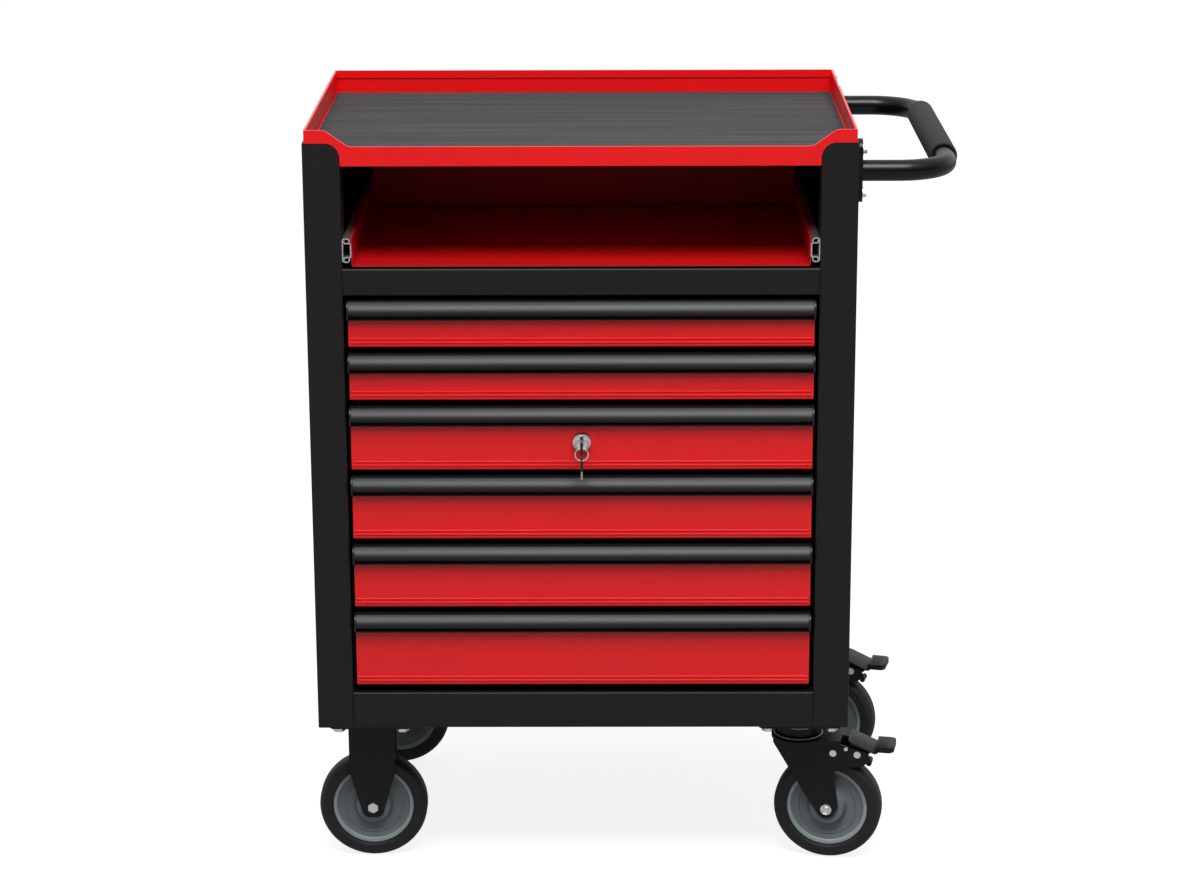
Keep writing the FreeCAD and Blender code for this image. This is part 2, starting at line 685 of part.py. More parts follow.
def inner_rail(side, height, start):
    """The moving rail: a hat whose brims run behind the outer rail's lips."""
    body = doc.addObject("PartDesign::Body", "inner_rail")
    brim_x = "PostInner - Sheet - SlideGap"
    half = "InnerHeight/2"
    path = [
        (brim_x, f"-{half} - InnerBrim"),
        (brim_x, f"-{half} + Sheet"),
        ("BoxHalf + Sheet", f"-{half} + Sheet"),
        ("BoxHalf + Sheet", f"{half} - Sheet"),
        (brim_x, f"{half} - Sheet"),
        (brim_x, f"{half} + InnerBrim"),
    ]
    pad(body, "XZ", start, "SlideLength", mirrored(folded(path, -1), side))
    bind_base_z(body, height)
    return body


def bind_base_z(thing, height):
    thing.setExpression("Placement.Base.z", full(height))


def slide_places():
    """Middle height and front end of each slide: the pull-out tray's, then the drawers'."""
    places = [("DeckSlide", "DeckFront")]
    for number, front in DRAWERS:
        places.append((f"DrawerTop{number} - {front} + SlideRise", "SlideFront"))
    return places


def build_slides():
    outer = []
    for height, start in slide_places():
        for side in (-1, 1):
            outer.append(outer_rail(side, height, start))
    place(group("cabinet_slide_rails", outer), "0", "0", "0")


def inner_rails(label, height, start):
    place(group(label, [inner_rail(side, height, start) for side in (-1, 1)]), "0", "0", "0")


def pull_profile():
    """The pull's section, seen from its end: across is the depth, up is from the pull's top."""
    back = "0"
    face = "-PullWall"
    return [
        (back, "-PullWall"),
        ("FrontReturn - PullFlangeGap", "-PullWall"),
        ("FrontReturn - PullFlangeGap", "0"),
        (face, "0"),
        (face, "-PullUpstand"),
        ("-PullDepth", "-PullUpstand - HoodFall", "HoodRound"),
        ("-PullDepth", "-PullHood"),
        ("-PullDepth + PullWall", "-PullHood"),
        ("-PullDepth + PullWall", "-PullUpstand - HoodFall - PullWall", "HoodRound - PullWall"),
        (face, "-PullUpstand - PullWall"),
        (face, "-PullHeight + PullLip"),
        ("-PullLip", "-PullHeight + PullLip - PullLipSlope", "PullLipTip"),
        ("-PullLip - PullLipTip", "-PullHeight"),
        (back, "-PullHeight"),
    ]


def build_drawer(number, front):
    top = f"DrawerTop{number}"
    low = f"{top} - {front}"
    body = new_body(f"drawer_box_{number}")
    face = "FrontSetback"
    front_top = f"{front} - PullWall"
    section = folded(
        [
            (f"{face} + FrontReturn", "0"),
            (face, "0"),
            (face, front_top),
            (f"{face} + FrontReturn", front_top),
        ],
        1,
    )
    pad(body, "YZ", "-FrontHalf", "2*FrontHalf", section)
    for side in (-1, 1):
        cheek = rectangle(("FrontHalf - Sheet", "FrontHalf"), (f"{face} + Bend", f"{face} + FrontReturn"))
        pad(body, "XY", "Sheet/2", f"{front_top} - Sheet", mirrored(cheek, side))
    for low_edge in ("BeadLow", "BeadHigh"):
        bead = [
            (face, low_edge),
            (f"{face} + Sheet/2", low_edge),
            (f"{face} + Sheet/2", f"{low_edge} + BeadHeight"),
            (face, f"{low_edge} + BeadHeight"),
            (f"{face} - BeadDepth", f"{low_edge} + (1 - BeadSlope)*BeadHeight"),
            (f"{face} - BeadDepth", f"{low_edge} + BeadSlope*BeadHeight"),
        ]
        pad(body, "YZ", "-FrontHalf + Bend", "2*(FrontHalf - Bend)", bead)
    start = f"{face} + Sheet"
    end = f"{face} + DrawerLength"
    side_top = f"{front} - SideDrop"
    box = [
        ("-BoxHalf", side_top),
        ("-BoxHalf", "FloorRise", "Bend"),
        ("BoxHalf", "FloorRise", "Bend"),
        ("BoxHalf", side_top),
        ("BoxHalf - Sheet", side_top),
        ("BoxHalf - Sheet", "FloorRise + Sheet", "Bend - Sheet"),
        ("-BoxHalf + Sheet", "FloorRise + Sheet", "Bend - Sheet"),
        ("-BoxHalf + Sheet", side_top),
    ]
    pad(body, "XZ", start, "DrawerLength - Sheet", box)
    back_wall = (f"{end} - Sheet", end), ("FloorRise + Sheet", side_top)
    block(body, ("-BoxHalf + Sheet", "BoxHalf - Sheet"), *back_wall)
    if number == LOCKED_DRAWER:
        hole = [("0", f"LockHeight - ({low})", "BarrelRadius + FitGap/3")]
        pocket(body, "XZ", "FrontSetback - Sheet", "3*Sheet", circles=hole)
    place(body, "0", "0", low)

    profile = doc.addObject("PartDesign::Body", "profile")
    pad(profile, "YZ", "-PullHalf + CapWidth", "2*(PullHalf - CapWidth)", pull_profile())
    pieces = [profile]
    for start in ("-PullHalf", "PullHalf - CapWidth"):
        cap = doc.addObject("PartDesign::Body", "cap")
        outline = [
            ("0", "0"),
            ("-PullWall", "0"),
            ("-PullWall", "-PullUpstand"),
            ("-PullDepth", "-PullUpstand - HoodFall", "HoodRound"),
            ("-PullDepth", "-PullHeight + PullLip + 4", "3"),
            ("-PullLip - PullLipTip", "-PullHeight"),
            ("0", "-PullHeight"),
        ]
        pad(cap, "YZ", start, "CapWidth", outline)
        pieces.append(cap)
    place(group(f"drawer_pull_{number}", pieces), "0", "FrontSetback", top)
    inner_rails(f"drawer_rails_{number}", f"{low} + SlideRise", "SlideFront")


def build_deck():
    """The pull-out tray of the open compartment."""
    body = new_body("sliding_tray")
    start = "DeckFront"
    section = [
        ("-BoxHalf", "DeckSide"),
        ("-BoxHalf", "0", "Bend"),
        ("BoxHalf", "0", "Bend"),
        ("BoxHalf", "DeckSide"),
        ("BoxHalf - Sheet", "DeckSide"),
        ("BoxHalf - Sheet", "Sheet", "Bend - Sheet"),
        ("-BoxHalf + Sheet", "Sheet", "Bend - Sheet"),
        ("-BoxHalf + Sheet", "DeckSide"),
    ]
    pad(body, "XZ", start, "DeckDepth", section)
    block(body, ("-BoxHalf + Bend", "BoxHalf - Bend"), (start, f"{start} + DeckHem"), ("Sheet", "2*Sheet"))
    rear = f"{start} + DeckDepth"
    block(body, ("-BoxHalf", "BoxHalf"), (f"{rear} - Sheet", rear), ("Bend", "DeckBack"))
    place(body, "0", "0", "DeckUnder")
    inner_rails("sliding_tray_rails", "DeckSlide", "DeckFront")


def hexagon(across, up, width):
    """Corners of an upright hexagon, given its width across the flats."""
    radius = f"({width})/2/cos(30)"
    return [
        (f"{across} + {radius}*cos({60 * k})", f"{up} + {radius}*sin({60 * k})")
        for k in range(6)
    ]


def build_lock():
    housing = doc.addObject("PartDesign::Body", "housing")
    # The sketch's across is the radius and its up is Y, from the drawer front's face.
    shell = [
        ("CylinderRadius + AxleFit", "-BezelStand + 1"),
        ("FaceRadius", "-BezelStand + 1"),
        ("FaceRadius", "-BezelStand"),
        ("FaceRadius + 0.6", "-BezelStand"),
        ("BezelRadius", "-BezelStand + 2.6", "2"),
        ("BezelRadius", "0"),
        ("BarrelRadius", "0"),
        ("BarrelRadius", "BarrelLength"),
        ("CylinderRadius + AxleFit", "BarrelLength"),
    ]
    revolve(housing, "Revolution", "XY", shell, "V_Axis")
    nut = doc.addObject("PartDesign::Body", "nut")
    ring = [("0", "0", "BarrelRadius")]
    pad(nut, "XZ", "Sheet", "NutThickness", hexagon("0", "0", "NutWidth"), ring)
    place(group("lock_housing", [housing, nut]), "0", "FrontSetback", "LockHeight")

    cylinder = new_body("lock_cylinder")
    core = [
        ("0", "-BezelStand + 0.6"),
        ("CylinderRadius - 0.5", "-BezelStand + 0.6"),
        ("CylinderRadius", "-BezelStand + 1.1"),
        ("CylinderRadius", "BarrelLength + FitGap"),
        ("0", "BarrelLength + FitGap"),
    ]
    revolve(cylinder, "Revolution", "XY", core, "V_Axis")
    cam = [
        ("-CamWidth/2", "-CamWidth/2", "3"),
        ("CamWidth/2", "-CamWidth/2", "3"),
        ("CamWidth/2", "CamLength", "3"),
        ("-CamWidth/2", "CamLength", "3"),
    ]
    pad(cylinder, "XZ", "BarrelLength + FitGap", "CamThickness", cam)
    screw = [("0", "0", "CamWidth/3")]
    pad(cylinder, "XZ", "BarrelLength + FitGap + CamThickness", "CamThickness", circles=screw)
    slot_x = "KeyThickness/2 + KeyGap"
    slot_z = "KeyHeight/2 + KeyGap"
    slot = rectangle((f"-({slot_x})", slot_x), (f"-({slot_z})", slot_z))
    pocket(cylinder, "XZ", "-BezelStand", "BladeLength + KeyGap + 1", slot)
    place(cylinder, "0", "FrontSetback", "LockHeight")


def build_keys():
    key = new_body("key")
    front = "-BezelStand - BowStand"
    blade = [
        (f"{front} - 2", "-KeyHeight/2"),
        (f"{front} + BowStand + BladeLength - 2", "-KeyHeight/2"),
        (f"{front} + BowStand + BladeLength", "0"),
        (f"{front} + BowStand + BladeLength - 2", "KeyHeight/2"),
        (f"{front} - 2", "KeyHeight/2"),
    ]
    pad(key, "YZ", "-KeyThickness/2", "KeyThickness", blade)
    bow = [
        (front, "-BowHeight/4", "2"),
        (front, "BowHeight/4", "2"),
        (f"{front} - BowLength/3", "BowHeight/2", "5"),
        (f"{front} - BowLength", "BowHeight/2", "6"),
        (f"{front} - BowLength", "-BowHeight/2", "6"),
        (f"{front} - BowLength/3", "-BowHeight/2", "5"),
    ]
    pad(key, "YZ", "-BowThickness/2", "BowThickness", bow)
    hole = [("HolePlace - FrontSetback", "0", "HoleRadius")]
    pocket(key, "YZ", "-BowThickness", "2*BowThickness", circles=hole)
    place(key, "0", "FrontSetback", "LockHeight")

    ring = doc.addObject("Part::Torus", "key_ring")
    ring.Label = "key_ring"
    bind(ring, Radius1="RingRadius", Radius2="WireRadius")
    ring.Placement.Rotation = FreeCAD.Rotation(FreeCAD.Vector(1, 0, 0), 90)
    place(ring, "0", "HolePlace", "RingHeight")
    subparts.append(ring)

    spare = new_body("spare_key")
    top = "HoleRadius + 1.8"
    bow = [
        ("-5", top, "4"),
        ("5", top, "4"),
        ("5", f"{top} - SpareBow + 3", "3"),
        ("3", f"{top} - SpareBow", "1"),
        ("-3", f"{top} - SpareBow", "1"),
        ("-5", f"{top} - SpareBow + 3", "3"),
    ]
    pad(spare, "YZ", "-BowThickness/2", "BowThickness", bow)
    blade = [
        ("-3", f"{top} - SpareBow + 2"),
        ("-3", f"{top} - SpareBow - SpareBlade + 2"),
        ("-1", f"{top} - SpareBow - SpareBlade"),
        ("3", f"{top} - SpareBow - SpareBlade + 3"),
        ("3", f"{top} - SpareBow + 2"),
    ]
    pad(spare, "YZ", "-KeyThickness/2", "KeyThickness", blade)
    hole = [("0", "0", "HoleRadius")]
    pocket(spare, "YZ", "-BowThickness", "2*BowThickness", circles=hole)
    place(spare, "0", "HolePlace", "SpareHole")


def build_handle():
    body = new_body("push_handle")
    wall = "Half"
    middle = "BracketRise"
    for y in HANDLE_LEGS:
        plate = [
            (f"{y} - BracketWidth/2", f"{middle} - BracketHeight/2"),
            (f"{y} + BracketWidth/2", f"{middle} - BracketHeight/2"),
            (f"{y} + BracketWidth/2", f"{middle} + BracketHeight/2", "BracketWidth/2 - 1"),
            (f"{y} - BracketWidth/2", f"{middle} + BracketHeight/2", "BracketWidth/2 - 1"),
        ]
        pad(body, "YZ", wall, "BracketThickness", plate)
        if y == HANDLE_LEGS[0]:
            ring = new_sketch(body, "YZ", f"{wall} + BracketThickness")
            draw_circles(ring, [(y, "0", "TubeRadius"), (y, "0", "TubeRadius - TubeWall")])
            route = new_sketch(body, "XY", "0")
            draw_route(route)
            pipe = body.newObject("PartDesign::AdditivePipe", "Tube")
            pipe.Profile = ring
            pipe.Spine = (route, [f"Edge{k + 1}" for k in range(5)])
    holes = [(y, f"{z} - HandleHeight", "BoltRadius + FitGap/3") for y, z in handle_bolt_places()]
    pocket(body, "YZ", wall, "BracketThickness", circles=holes)
    place(body, "0", "0", "HandleHeight")

    grip = new_body("handle_grip")
    sleeve = [
        ("TubeRadius + FitGap", "0"),
        ("GripRadius", "0", "GripRound"),
        ("GripRadius", "GripLength", "GripRound"),
        ("TubeRadius + FitGap", "GripLength"),
    ]
    revolve(grip, "Revolution", "XY", sleeve, "V_Axis")
    place(grip, "HandleReach", "GripStart", "HandleHeight")

    bolts = []
    for y, z in handle_bolt_places():
        bolt = doc.addObject("PartDesign::Body", "bolt")
        face = "Half + BracketThickness"
        pad(bolt, "YZ", "RimOuter", f"{face} - RimOuter", circles=[(y, z, "BoltRadius")])
        pad(bolt, "YZ", face, "WasherHeight", circles=[(y, z, "WasherRadius")])
        pad(bolt, "YZ", f"{face} + WasherHeight", "BoltHead", hexagon(y, z, "BoltFlats"))
        bolts.append(bolt)
    place(group("handle_bolts", bolts), "0", "0", "0")


def draw_route(sketch):
    """The handle tube's middle line: out, along the grip and back in."""
    start_x, reach = value("Half + BracketThickness"), value("HandleReach")
    front, back = value("HandleFront"), value("HandleBack")
    bend = value("HandleBend")
    slant = bend * (1 - math.sqrt(0.5))
    point = FreeCAD.Vector
    out = Part.LineSegment(point(start_x, front, 0), point(reach - bend, front, 0))
    arc_1 = Part.Arc(
        point(reach - bend, front, 0), point(reach - slant, front + slant, 0), point(reach, front + bend, 0)
    )
    along = Part.LineSegment(point(reach, front + bend, 0), point(reach, back - bend, 0))
    arc_2 = Part.Arc(
        point(reach, back - bend, 0), point(reach - slant, back - slant, 0), point(reach - bend, back, 0)
    )
    home = Part.LineSegment(point(reach - bend, back, 0), point(start_x, back, 0))
    for piece in (out, arc_1, along, arc_2, home):
        sketch.addGeometry(piece, False)
    for first, second in ((0, 1), (1, 2), (2, 3), (3, 4)):
        end = 2
        begin = 1
        sketch.addConstraint(Sketcher.Constraint("Tangent", first, end, second, begin))
    for arc in (1, 3):
        index = sketch.addConstraint(Sketcher.Constraint("Radius", arc, bend))
        sketch.setExpression(f"Constraints[{index}]", full("HandleBend"))
    pin(sketch, 0, 1, "Half + BracketThickness", "HandleFront")
    pin(sketch, 4, 2, "Half + BracketThickness", "HandleBack")
    sketch.addConstraint(Sketcher.Constraint("Horizontal", 0))
    sketch.addConstraint(Sketcher.Constraint("Vertical", 2))
    sketch.addConstraint(Sketcher.Constraint("Horizontal", 4))
    index = sketch.addConstraint(Sketcher.Constraint("DistanceX", -1, 1, 2, 1, reach))
    sketch.setExpression(f"Constraints[{index}]", full("HandleReach"))


def plate_holes(lengthwise):
    """Hole places round a castor plate's middle; lengthwise plates lie along the channel."""
    pitch_x, pitch_y = ("HolePitchX", "HolePitchY") if lengthwise else ("HolePitchY", "HolePitchX")
    return [(f"{sx}*{pitch_x}/2", f"{sy}*{pitch_y}/2") for sx in (-1, 1) for sy in (-1, 1)]


def castor_plate(body, lengthwise=True):
    """The castor's mounting plate with its four bolt holes; the plate's middle is the local zero."""
    half_x, half_y = ("PlateLength/2", "PlateWidth/2") if lengthwise else ("PlateWidth/2", "PlateLength/2")
    outline = rectangle((f"-{half_x}", half_x), (f"-{half_y}", half_y), "PlateCorner")
    pad(body, "XY", "-PlateThickness", "PlateThickness", outline)
    holes = [(x, y, "CastorBolt + FitGap/3") for x, y in plate_holes(lengthwise)]
    pocket(body, "XY", "-2*PlateThickness", "3*PlateThickness", circles=holes)


def castor_bolts(x, y, lengthwise=True):
    """Four hexagon bolts, with washers, that hold a castor plate to its channel."""
    bolts = []
    for hole_x, hole_y in plate_holes(lengthwise):
        bolt = doc.addObject("PartDesign::Body", "castor_bolt")
        across, up = f"{x} + {hole_x}", f"{y} + {hole_y}"
        washer = [(across, up, "BoltHex/2 + CastorWasher")]
        pad(bolt, "XY", "PlateUnder - CastorWasher", "CastorWasher", circles=washer)
        pad(bolt, "XY", "PlateUnder", "PlateThickness", circles=[(across, up, "CastorBolt")])
        head_low = "PlateUnder - CastorWasher - HexHeight"
        pad(bolt, "XY", head_low, "HexHeight", hexagon(across, up, "BoltHex"))
        bolts.append(bolt)
    return bolts


def rigid_castor(name, x, y):
    body = new_body(f"rigid_bracket_{name}")
    castor_plate(body)
    drop = "PlateTop - AxleHeight"
    leg = [
        ("-LegWidth/2", "-PlateThickness"),
        ("-LegWidth/2", "-PlateThickness - LegTaper", "12"),
        ("-LegFoot - 2", f"-({drop}) + 2", "6"),
        ("-LegFoot + 2", f"-({drop}) - LegFoot", "LegFoot - 3"),
        ("LegFoot - 2", f"-({drop}) - LegFoot", "LegFoot - 3"),
        ("LegFoot + 2", f"-({drop}) + 2", "6"),
        ("LegWidth/2", "-PlateThickness - LegTaper", "12"),
        ("LegWidth/2", "-PlateThickness"),
    ]
    for start in ("-ForkOuter", "ForkGap"):
        pad(body, "XZ", start, "ForkSheet", leg)
    web_top = "-PlateThickness"
    block(body, ("-LegWidth/2", "LegWidth/2"), ("-ForkGap", "ForkGap"), (f"{web_top} - ForkSheet", web_top))
    bore = [("0", f"-({drop})", "AxleRadius")]
    pocket(body, "XZ", "-2*ForkOuter", "4*ForkOuter", circles=bore)
    place(body, x, y, "PlateTop")


def axle_outline():
    """Half the axle's section: across is the radius, up is along the axle."""
    outer = "ForkOuter"
    return [
        ("0", f"-{outer} - HeadHeight"),
        ("AxleHead - 2", f"-{outer} - HeadHeight"),
        ("AxleHead", f"-{outer} - HeadHeight/3"),
        ("AxleHead", f"-{outer}"),
        ("AxleRadius", f"-{outer}"),
        ("AxleRadius", outer),
        ("AxleHead", outer),
        ("AxleHead", f"{outer} + HeadHeight"),
        ("0", f"{outer} + HeadHeight"),
    ]


def wheel(name, x, y, turn):
    """Hub and tyre, drawn as half sections: across is the radius, up is along the axle."""
    hub = new_body(f"wheel_hub_{name}")
    ring_in = "RimRadius - RimRing"
    hub_half = [
        ("AxleRadius + AxleFit", "BossFace"),
        ("BossRadius", "BossFace"),
        ("DishFoot", "DishFace", "4"),
        (ring_in, "DishFace", "2"),
        (ring_in, "RimFace"),
        ("RimRadius", "RimFace"),
    ]
    other = [(corner[0], f"-({corner[1]})") + tuple(corner[2:]) for corner in hub_half[::-1]]
    revolve(hub, "Revolution", "XY", hub_half + other, "V_Axis")
    place(hub, x, y, "AxleHeight", turn)

    tyre = new_body(f"tyre_{name}")
    shoulder = "WheelRadius - ShoulderRise"
    tyre_half = [
        ("RimRadius", "RimFace"),
        ("RimRadius + 1", "TyreWidth/2 - 1", "1"),
        ("RimRadius + 3", "TyreWidth/2"),
        (f"{shoulder} - 2", "TyreWidth/2", "1.5"),
        (shoulder, "TyreWidth/2 - 1.5"),
        ("WheelRadius", "TreadWidth/2", "6"),
    ]
    other = [(corner[0], f"-({corner[1]})") + tuple(corner[2:]) for corner in tyre_half[::-1]]
    revolve(tyre, "Revolution", "XY", tyre_half + other, "V_Axis")
    place(tyre, x, y, "AxleHeight", turn)


def swivel_castor(name, x, y, turn, lengthwise):
    plate = new_body(f"swivel_plate_{name}")
    castor_plate(plate, lengthwise)
    low = "RaceTop - PlateTop"
    under = "CrownUnder - PlateTop - FitGap"
    # Upper race, ball ring and kingpin as one turned shape: across is the radius, up is Z.
    turned = [
        ("0", "-PlateThickness + 0.5"),
        ("RaceRadius - 3", "-PlateThickness + 0.5"),
        ("RaceRadius", "-PlateThickness - 2", "2"),
        ("RaceRadius", "CupUnder - PlateTop"),
        ("RaceRadius - 4", "CupUnder - PlateTop"),
        ("RaceRadius - 4", f"{low} + RaceFit"),
        ("KingpinRadius", f"{low} + RaceFit"),
        ("KingpinRadius", under),
        ("KingpinHead", under),
        ("KingpinHead", f"{under} - 2"),
        ("KingpinHead - 3", f"{under} - 4"),
        ("0", f"{under} - 4"),
    ]
    revolve(plate, "Revolution", "XZ", turned, "V_Axis")
    place(plate, x, y, "PlateTop")

    fork = new_body(f"swivel_fork_{name}")
    race = [
        ("0", "RaceTop"),
        ("RaceRadius", "RaceTop", "2"),
        ("RaceRadius", "CrownTop - 0.5"),
        ("0", "CrownTop - 0.5"),
    ]
    revolve(fork, "Revolution", "XZ", race, "V_Axis")
    pad(fork, "XY", "CrownUnder", "CrownTop - CrownUnder", circles=[("0", "0", "CrownRadius")])
    block(fork, ("0", "AnchorPlace + 8"), ("-ForkOuter", "ForkOuter"), ("CrownUnder", "CrownTop"))
    leg = [
        ("-ForkBack", "CrownUnder + 1"),
        ("-ForkBack", "CrownUnder - PlateThickness", "3"),
        ("Trail - 1.5*LegFoot", "AxleHeight + LegFoot/2", "10"),
        ("Trail - LegFoot/2", "AxleHeight - LegFoot + 2", "6"),
        ("Trail + LegFoot/2", "AxleHeight - LegFoot + 2", "8"),
        ("Trail + LegFoot + 1", "AxleHeight + 2", "8"),
        ("AnchorPlace + 1", "-EarLow - 4", "8"),
        ("EarTip - 9", "-EarLow + 2", "4"),
        ("EarTip", "-EarTipDrop", "3"),
        ("EarTip - 5", "-EarTipDrop + 9", "4"),
        ("AnchorPlace + 9", "CrownUnder - 1.5", "8"),
        ("AnchorPlace + 2", "CrownUnder + 1"),
    ]
    for start in ("-ForkOuter", "ForkGap"):
        pad(fork, "XZ", start, "ForkSheet", leg)
    bore = [("Trail", "AxleHeight", "AxleRadius")]
    pocket(fork, "XZ", "-2*ForkOuter", "4*ForkOuter", circles=bore)
    pin_hole = [("0", "0", "KingpinRadius + AxleFit")]
    pocket(fork, "XY", "CrownUnder - 2", "RaceTop - CrownUnder + 4", circles=pin_hole)
    # The anchor and pivot pins cross the fork from ear to ear, with a head on each side.
    for across in ("AnchorPlace", "PedalPivot"):
        drop = "-PedalPivotDrop"
        pad(fork, "XZ", "-ForkOuter", "2*ForkOuter", circles=[(across, drop, "RivetRadius - 1")])
        for start in ("-ForkOuter - RivetHeight", "ForkOuter"):
            pad(fork, "XZ", start, "RivetHeight", circles=[(across, drop, "RivetRadius")])
    place(fork, x, y, "0", turn)

    axle = new_body(f"swivel_axle_{name}")
    revolve(axle, "Revolution", "XY", axle_outline(), "V_Axis")
    trail_x = f"{x} + Trail*cos({turn})"
    trail_y = f"{y} + Trail*sin({turn})"
    place(axle, trail_x, trail_y, "AxleHeight", turn)
    wheel(f"{name}_right", trail_x, trail_y, turn)

    brake_pedal(name, x, y, turn)


def brake_pedal(name, x, y, turn):
    """A lever folded to a channel that straddles the fork's ears, with a ribbed toe pad."""
    pedal = new_body(f"brake_pedal_{name}")
    toe_low = "-PedalTipDrop - PadThickness"
    toe = [
        ("PedalTip - PadLength", "-PedalTipDrop"),
        ("PedalTip - PadLength", toe_low, "2"),
        ("PedalTip", toe_low, "3"),
        ("PedalTip", "-PedalTipDrop", "3"),
    ]
    pad(pedal, "XZ", "-PadHalf", "2*PadHalf", toe)
    for k in range(5):
        rib_x = f"PedalTip - PadLength + (2.5 + {3 * k})*PadRib"
        rib = (rib_x, f"{rib_x} + PadRib")
        block(pedal, rib, ("2 - PadHalf", "PadHalf - 2"), ("-PedalTipDrop - 1", "PadRib - PedalTipDrop"))
    lever = [
        ("PedalStart", "-PedalTop"),
        ("PedalStart + 1", "-PedalTop - PedalRear"),
        ("PedalPivot - 5", "-PedalPivotDrop - 5", "4"),
        ("PedalPivot + 6", "-PedalPivotDrop - 5", "4"),
        ("PedalKnee", "-PedalKneeDrop - PedalFlange", "3"),
        ("PedalTip - 5", "-PedalTipDrop - PadThickness/2"),
        ("PedalTip - 5", "-PedalTipDrop - 1"),
        ("PedalKnee", "-PedalKneeDrop", "4"),
    ]
    pad(pedal, "XZ", "-PedalHalf", "2*PedalHalf", lever)
    inner = "PedalHalf - PedalSheet"
    inside = [
        ("PedalStart - 2", "-PedalTop - PedalSheet + 1"),
        ("PedalKnee", "-PedalKneeDrop - PedalSheet"),
        ("PedalKnee", "-PedalPivotDrop - PedalRear"),
        ("PedalStart - 2", "-PedalPivotDrop - PedalRear"),
    ]
    pocket(pedal, "XZ", f"-({inner})", f"2*({inner})", inside)
    hole = [("PedalPivot", "-PedalPivotDrop", "RivetRadius - 1 + AxleFit")]
    pocket(pedal, "XZ", "-2*PedalHalf", "4*PedalHalf", circles=hole)
    place(pedal, x, y, "0", turn)


def build_castors():
    rigid = [("front", "-RigidFront", "CastorFront"), ("rear", "-RigidRear", "RigidRearDepth")]
    swivel = [
        ("front", "SwivelFront", "CastorFront", "FrontTurn", True),
        ("rear", "SwivelRear", "SwivelRearDepth", "RearTurn", False),
    ]
    bolts, axles = [], []
    for name, x, y in rigid:
        rigid_castor(name, x, y)
        wheel(f"{name}_left", x, y, "0")
        axle = doc.addObject("PartDesign::Body", "axle")
        revolve(axle, "Revolution", "XY", axle_outline(), "V_Axis")
        axle.setExpression("Placement.Base.x", full(x))
        axle.setExpression("Placement.Base.y", full(y))
        axle.setExpression("Placement.Base.z", full("AxleHeight"))
        axles.append(axle)
        bolts += castor_bolts(x, y)
    for name, x, y, turn, lengthwise in swivel:
        swivel_castor(name, x, y, turn, lengthwise)
        bolts += castor_bolts(x, y, lengthwise)
    place(group("rigid_axles", axles), "0", "0", "0")
    place(group("caster_bolts", bolts), "0", "0", "0")


build_cabinet()
build_channels()
build_uprights()
build_top_tray()
build_slides()
for number, front in DRAWERS:
    build_drawer(number, front)
build_deck()
build_lock()
build_keys()
build_handle()
build_castors()
doc.recompute()

faults = [o.Name for o in doc.Objects if "Invalid" in o.State or "Error" in o.State]
if faults:
    raise RuntimeError("objects that failed: " + ", ".join(faults))
for piece in subparts:
    if piece.Shape.isNull() or not piece.Shape.isValid():
        raise RuntimeError("no valid shape: " + piece.Label)

os.makedirs("parts", exist_ok=True)
for piece in subparts:
    piece.Shape.exportStep(os.path.join("parts", piece.Label + ".step"))
    print(piece.Label, len(piece.Shape.Solids), "solids", round(piece.Shape.Volume))
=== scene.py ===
import bpy
import math
from mathutils import Matrix, Vector


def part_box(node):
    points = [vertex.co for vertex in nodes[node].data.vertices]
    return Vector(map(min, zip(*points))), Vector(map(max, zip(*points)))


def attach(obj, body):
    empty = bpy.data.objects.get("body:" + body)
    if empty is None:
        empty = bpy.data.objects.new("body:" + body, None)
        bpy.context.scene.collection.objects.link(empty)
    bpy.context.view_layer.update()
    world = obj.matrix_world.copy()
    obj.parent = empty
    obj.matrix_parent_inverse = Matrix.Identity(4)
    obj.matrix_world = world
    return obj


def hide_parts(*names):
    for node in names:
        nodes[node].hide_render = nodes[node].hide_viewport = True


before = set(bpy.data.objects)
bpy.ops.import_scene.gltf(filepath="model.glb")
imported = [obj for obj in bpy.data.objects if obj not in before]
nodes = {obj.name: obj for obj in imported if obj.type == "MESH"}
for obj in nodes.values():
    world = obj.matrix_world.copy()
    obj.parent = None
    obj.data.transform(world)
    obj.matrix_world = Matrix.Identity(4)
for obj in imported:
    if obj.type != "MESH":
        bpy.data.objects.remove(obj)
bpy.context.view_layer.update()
print("frame loaded:", len(nodes), "nodes")

# The cabinet's own zero (middle of its width, front face, underside) in the cart's frame, in metres.
cabinetZero = Vector((-0.054, -0.2065, 0.1835))
mm = 0.001

# The photograph's camera, fitted to the cabinet's straight edges.
cameraView = {
    "lens": 93.67,          # mm on a 36 mm wide sensor
    "place": (-0.01701, -3.5176, 1.4687),
    "pitchDown": 0.28098,   # radians
    "yaw": -0.00512,
    "roll": -0.00296,
}


def addCamera(view):
    pitch, yaw, roll = view["pitchDown"], view["yaw"], view["roll"]
    forward = Vector((math.sin(yaw) * math.cos(pitch), math.cos(yaw) * math.cos(pitch), -math.sin(pitch)))
    level = Vector((math.cos(yaw), -math.sin(yaw), 0))
    upright = level.cross(forward)
    right = level * math.cos(roll) + upright * math.sin(roll)
    up = upright * math.cos(roll) - level * math.sin(roll)
    data = bpy.data.cameras.new("photoCamera")
    data.lens = view["lens"]
    data.sensor_width = 36
    data.sensor_fit = "HORIZONTAL"
    data.clip_end = 100
    camera = bpy.data.objects.new("photoCamera", data)
    bpy.context.scene.collection.objects.link(camera)
    turn = Matrix((right, up, -forward)).transposed().to_4x4()
    camera.matrix_world = Matrix.Translation(view["place"]) @ turn
    bpy.context.scene.camera = camera


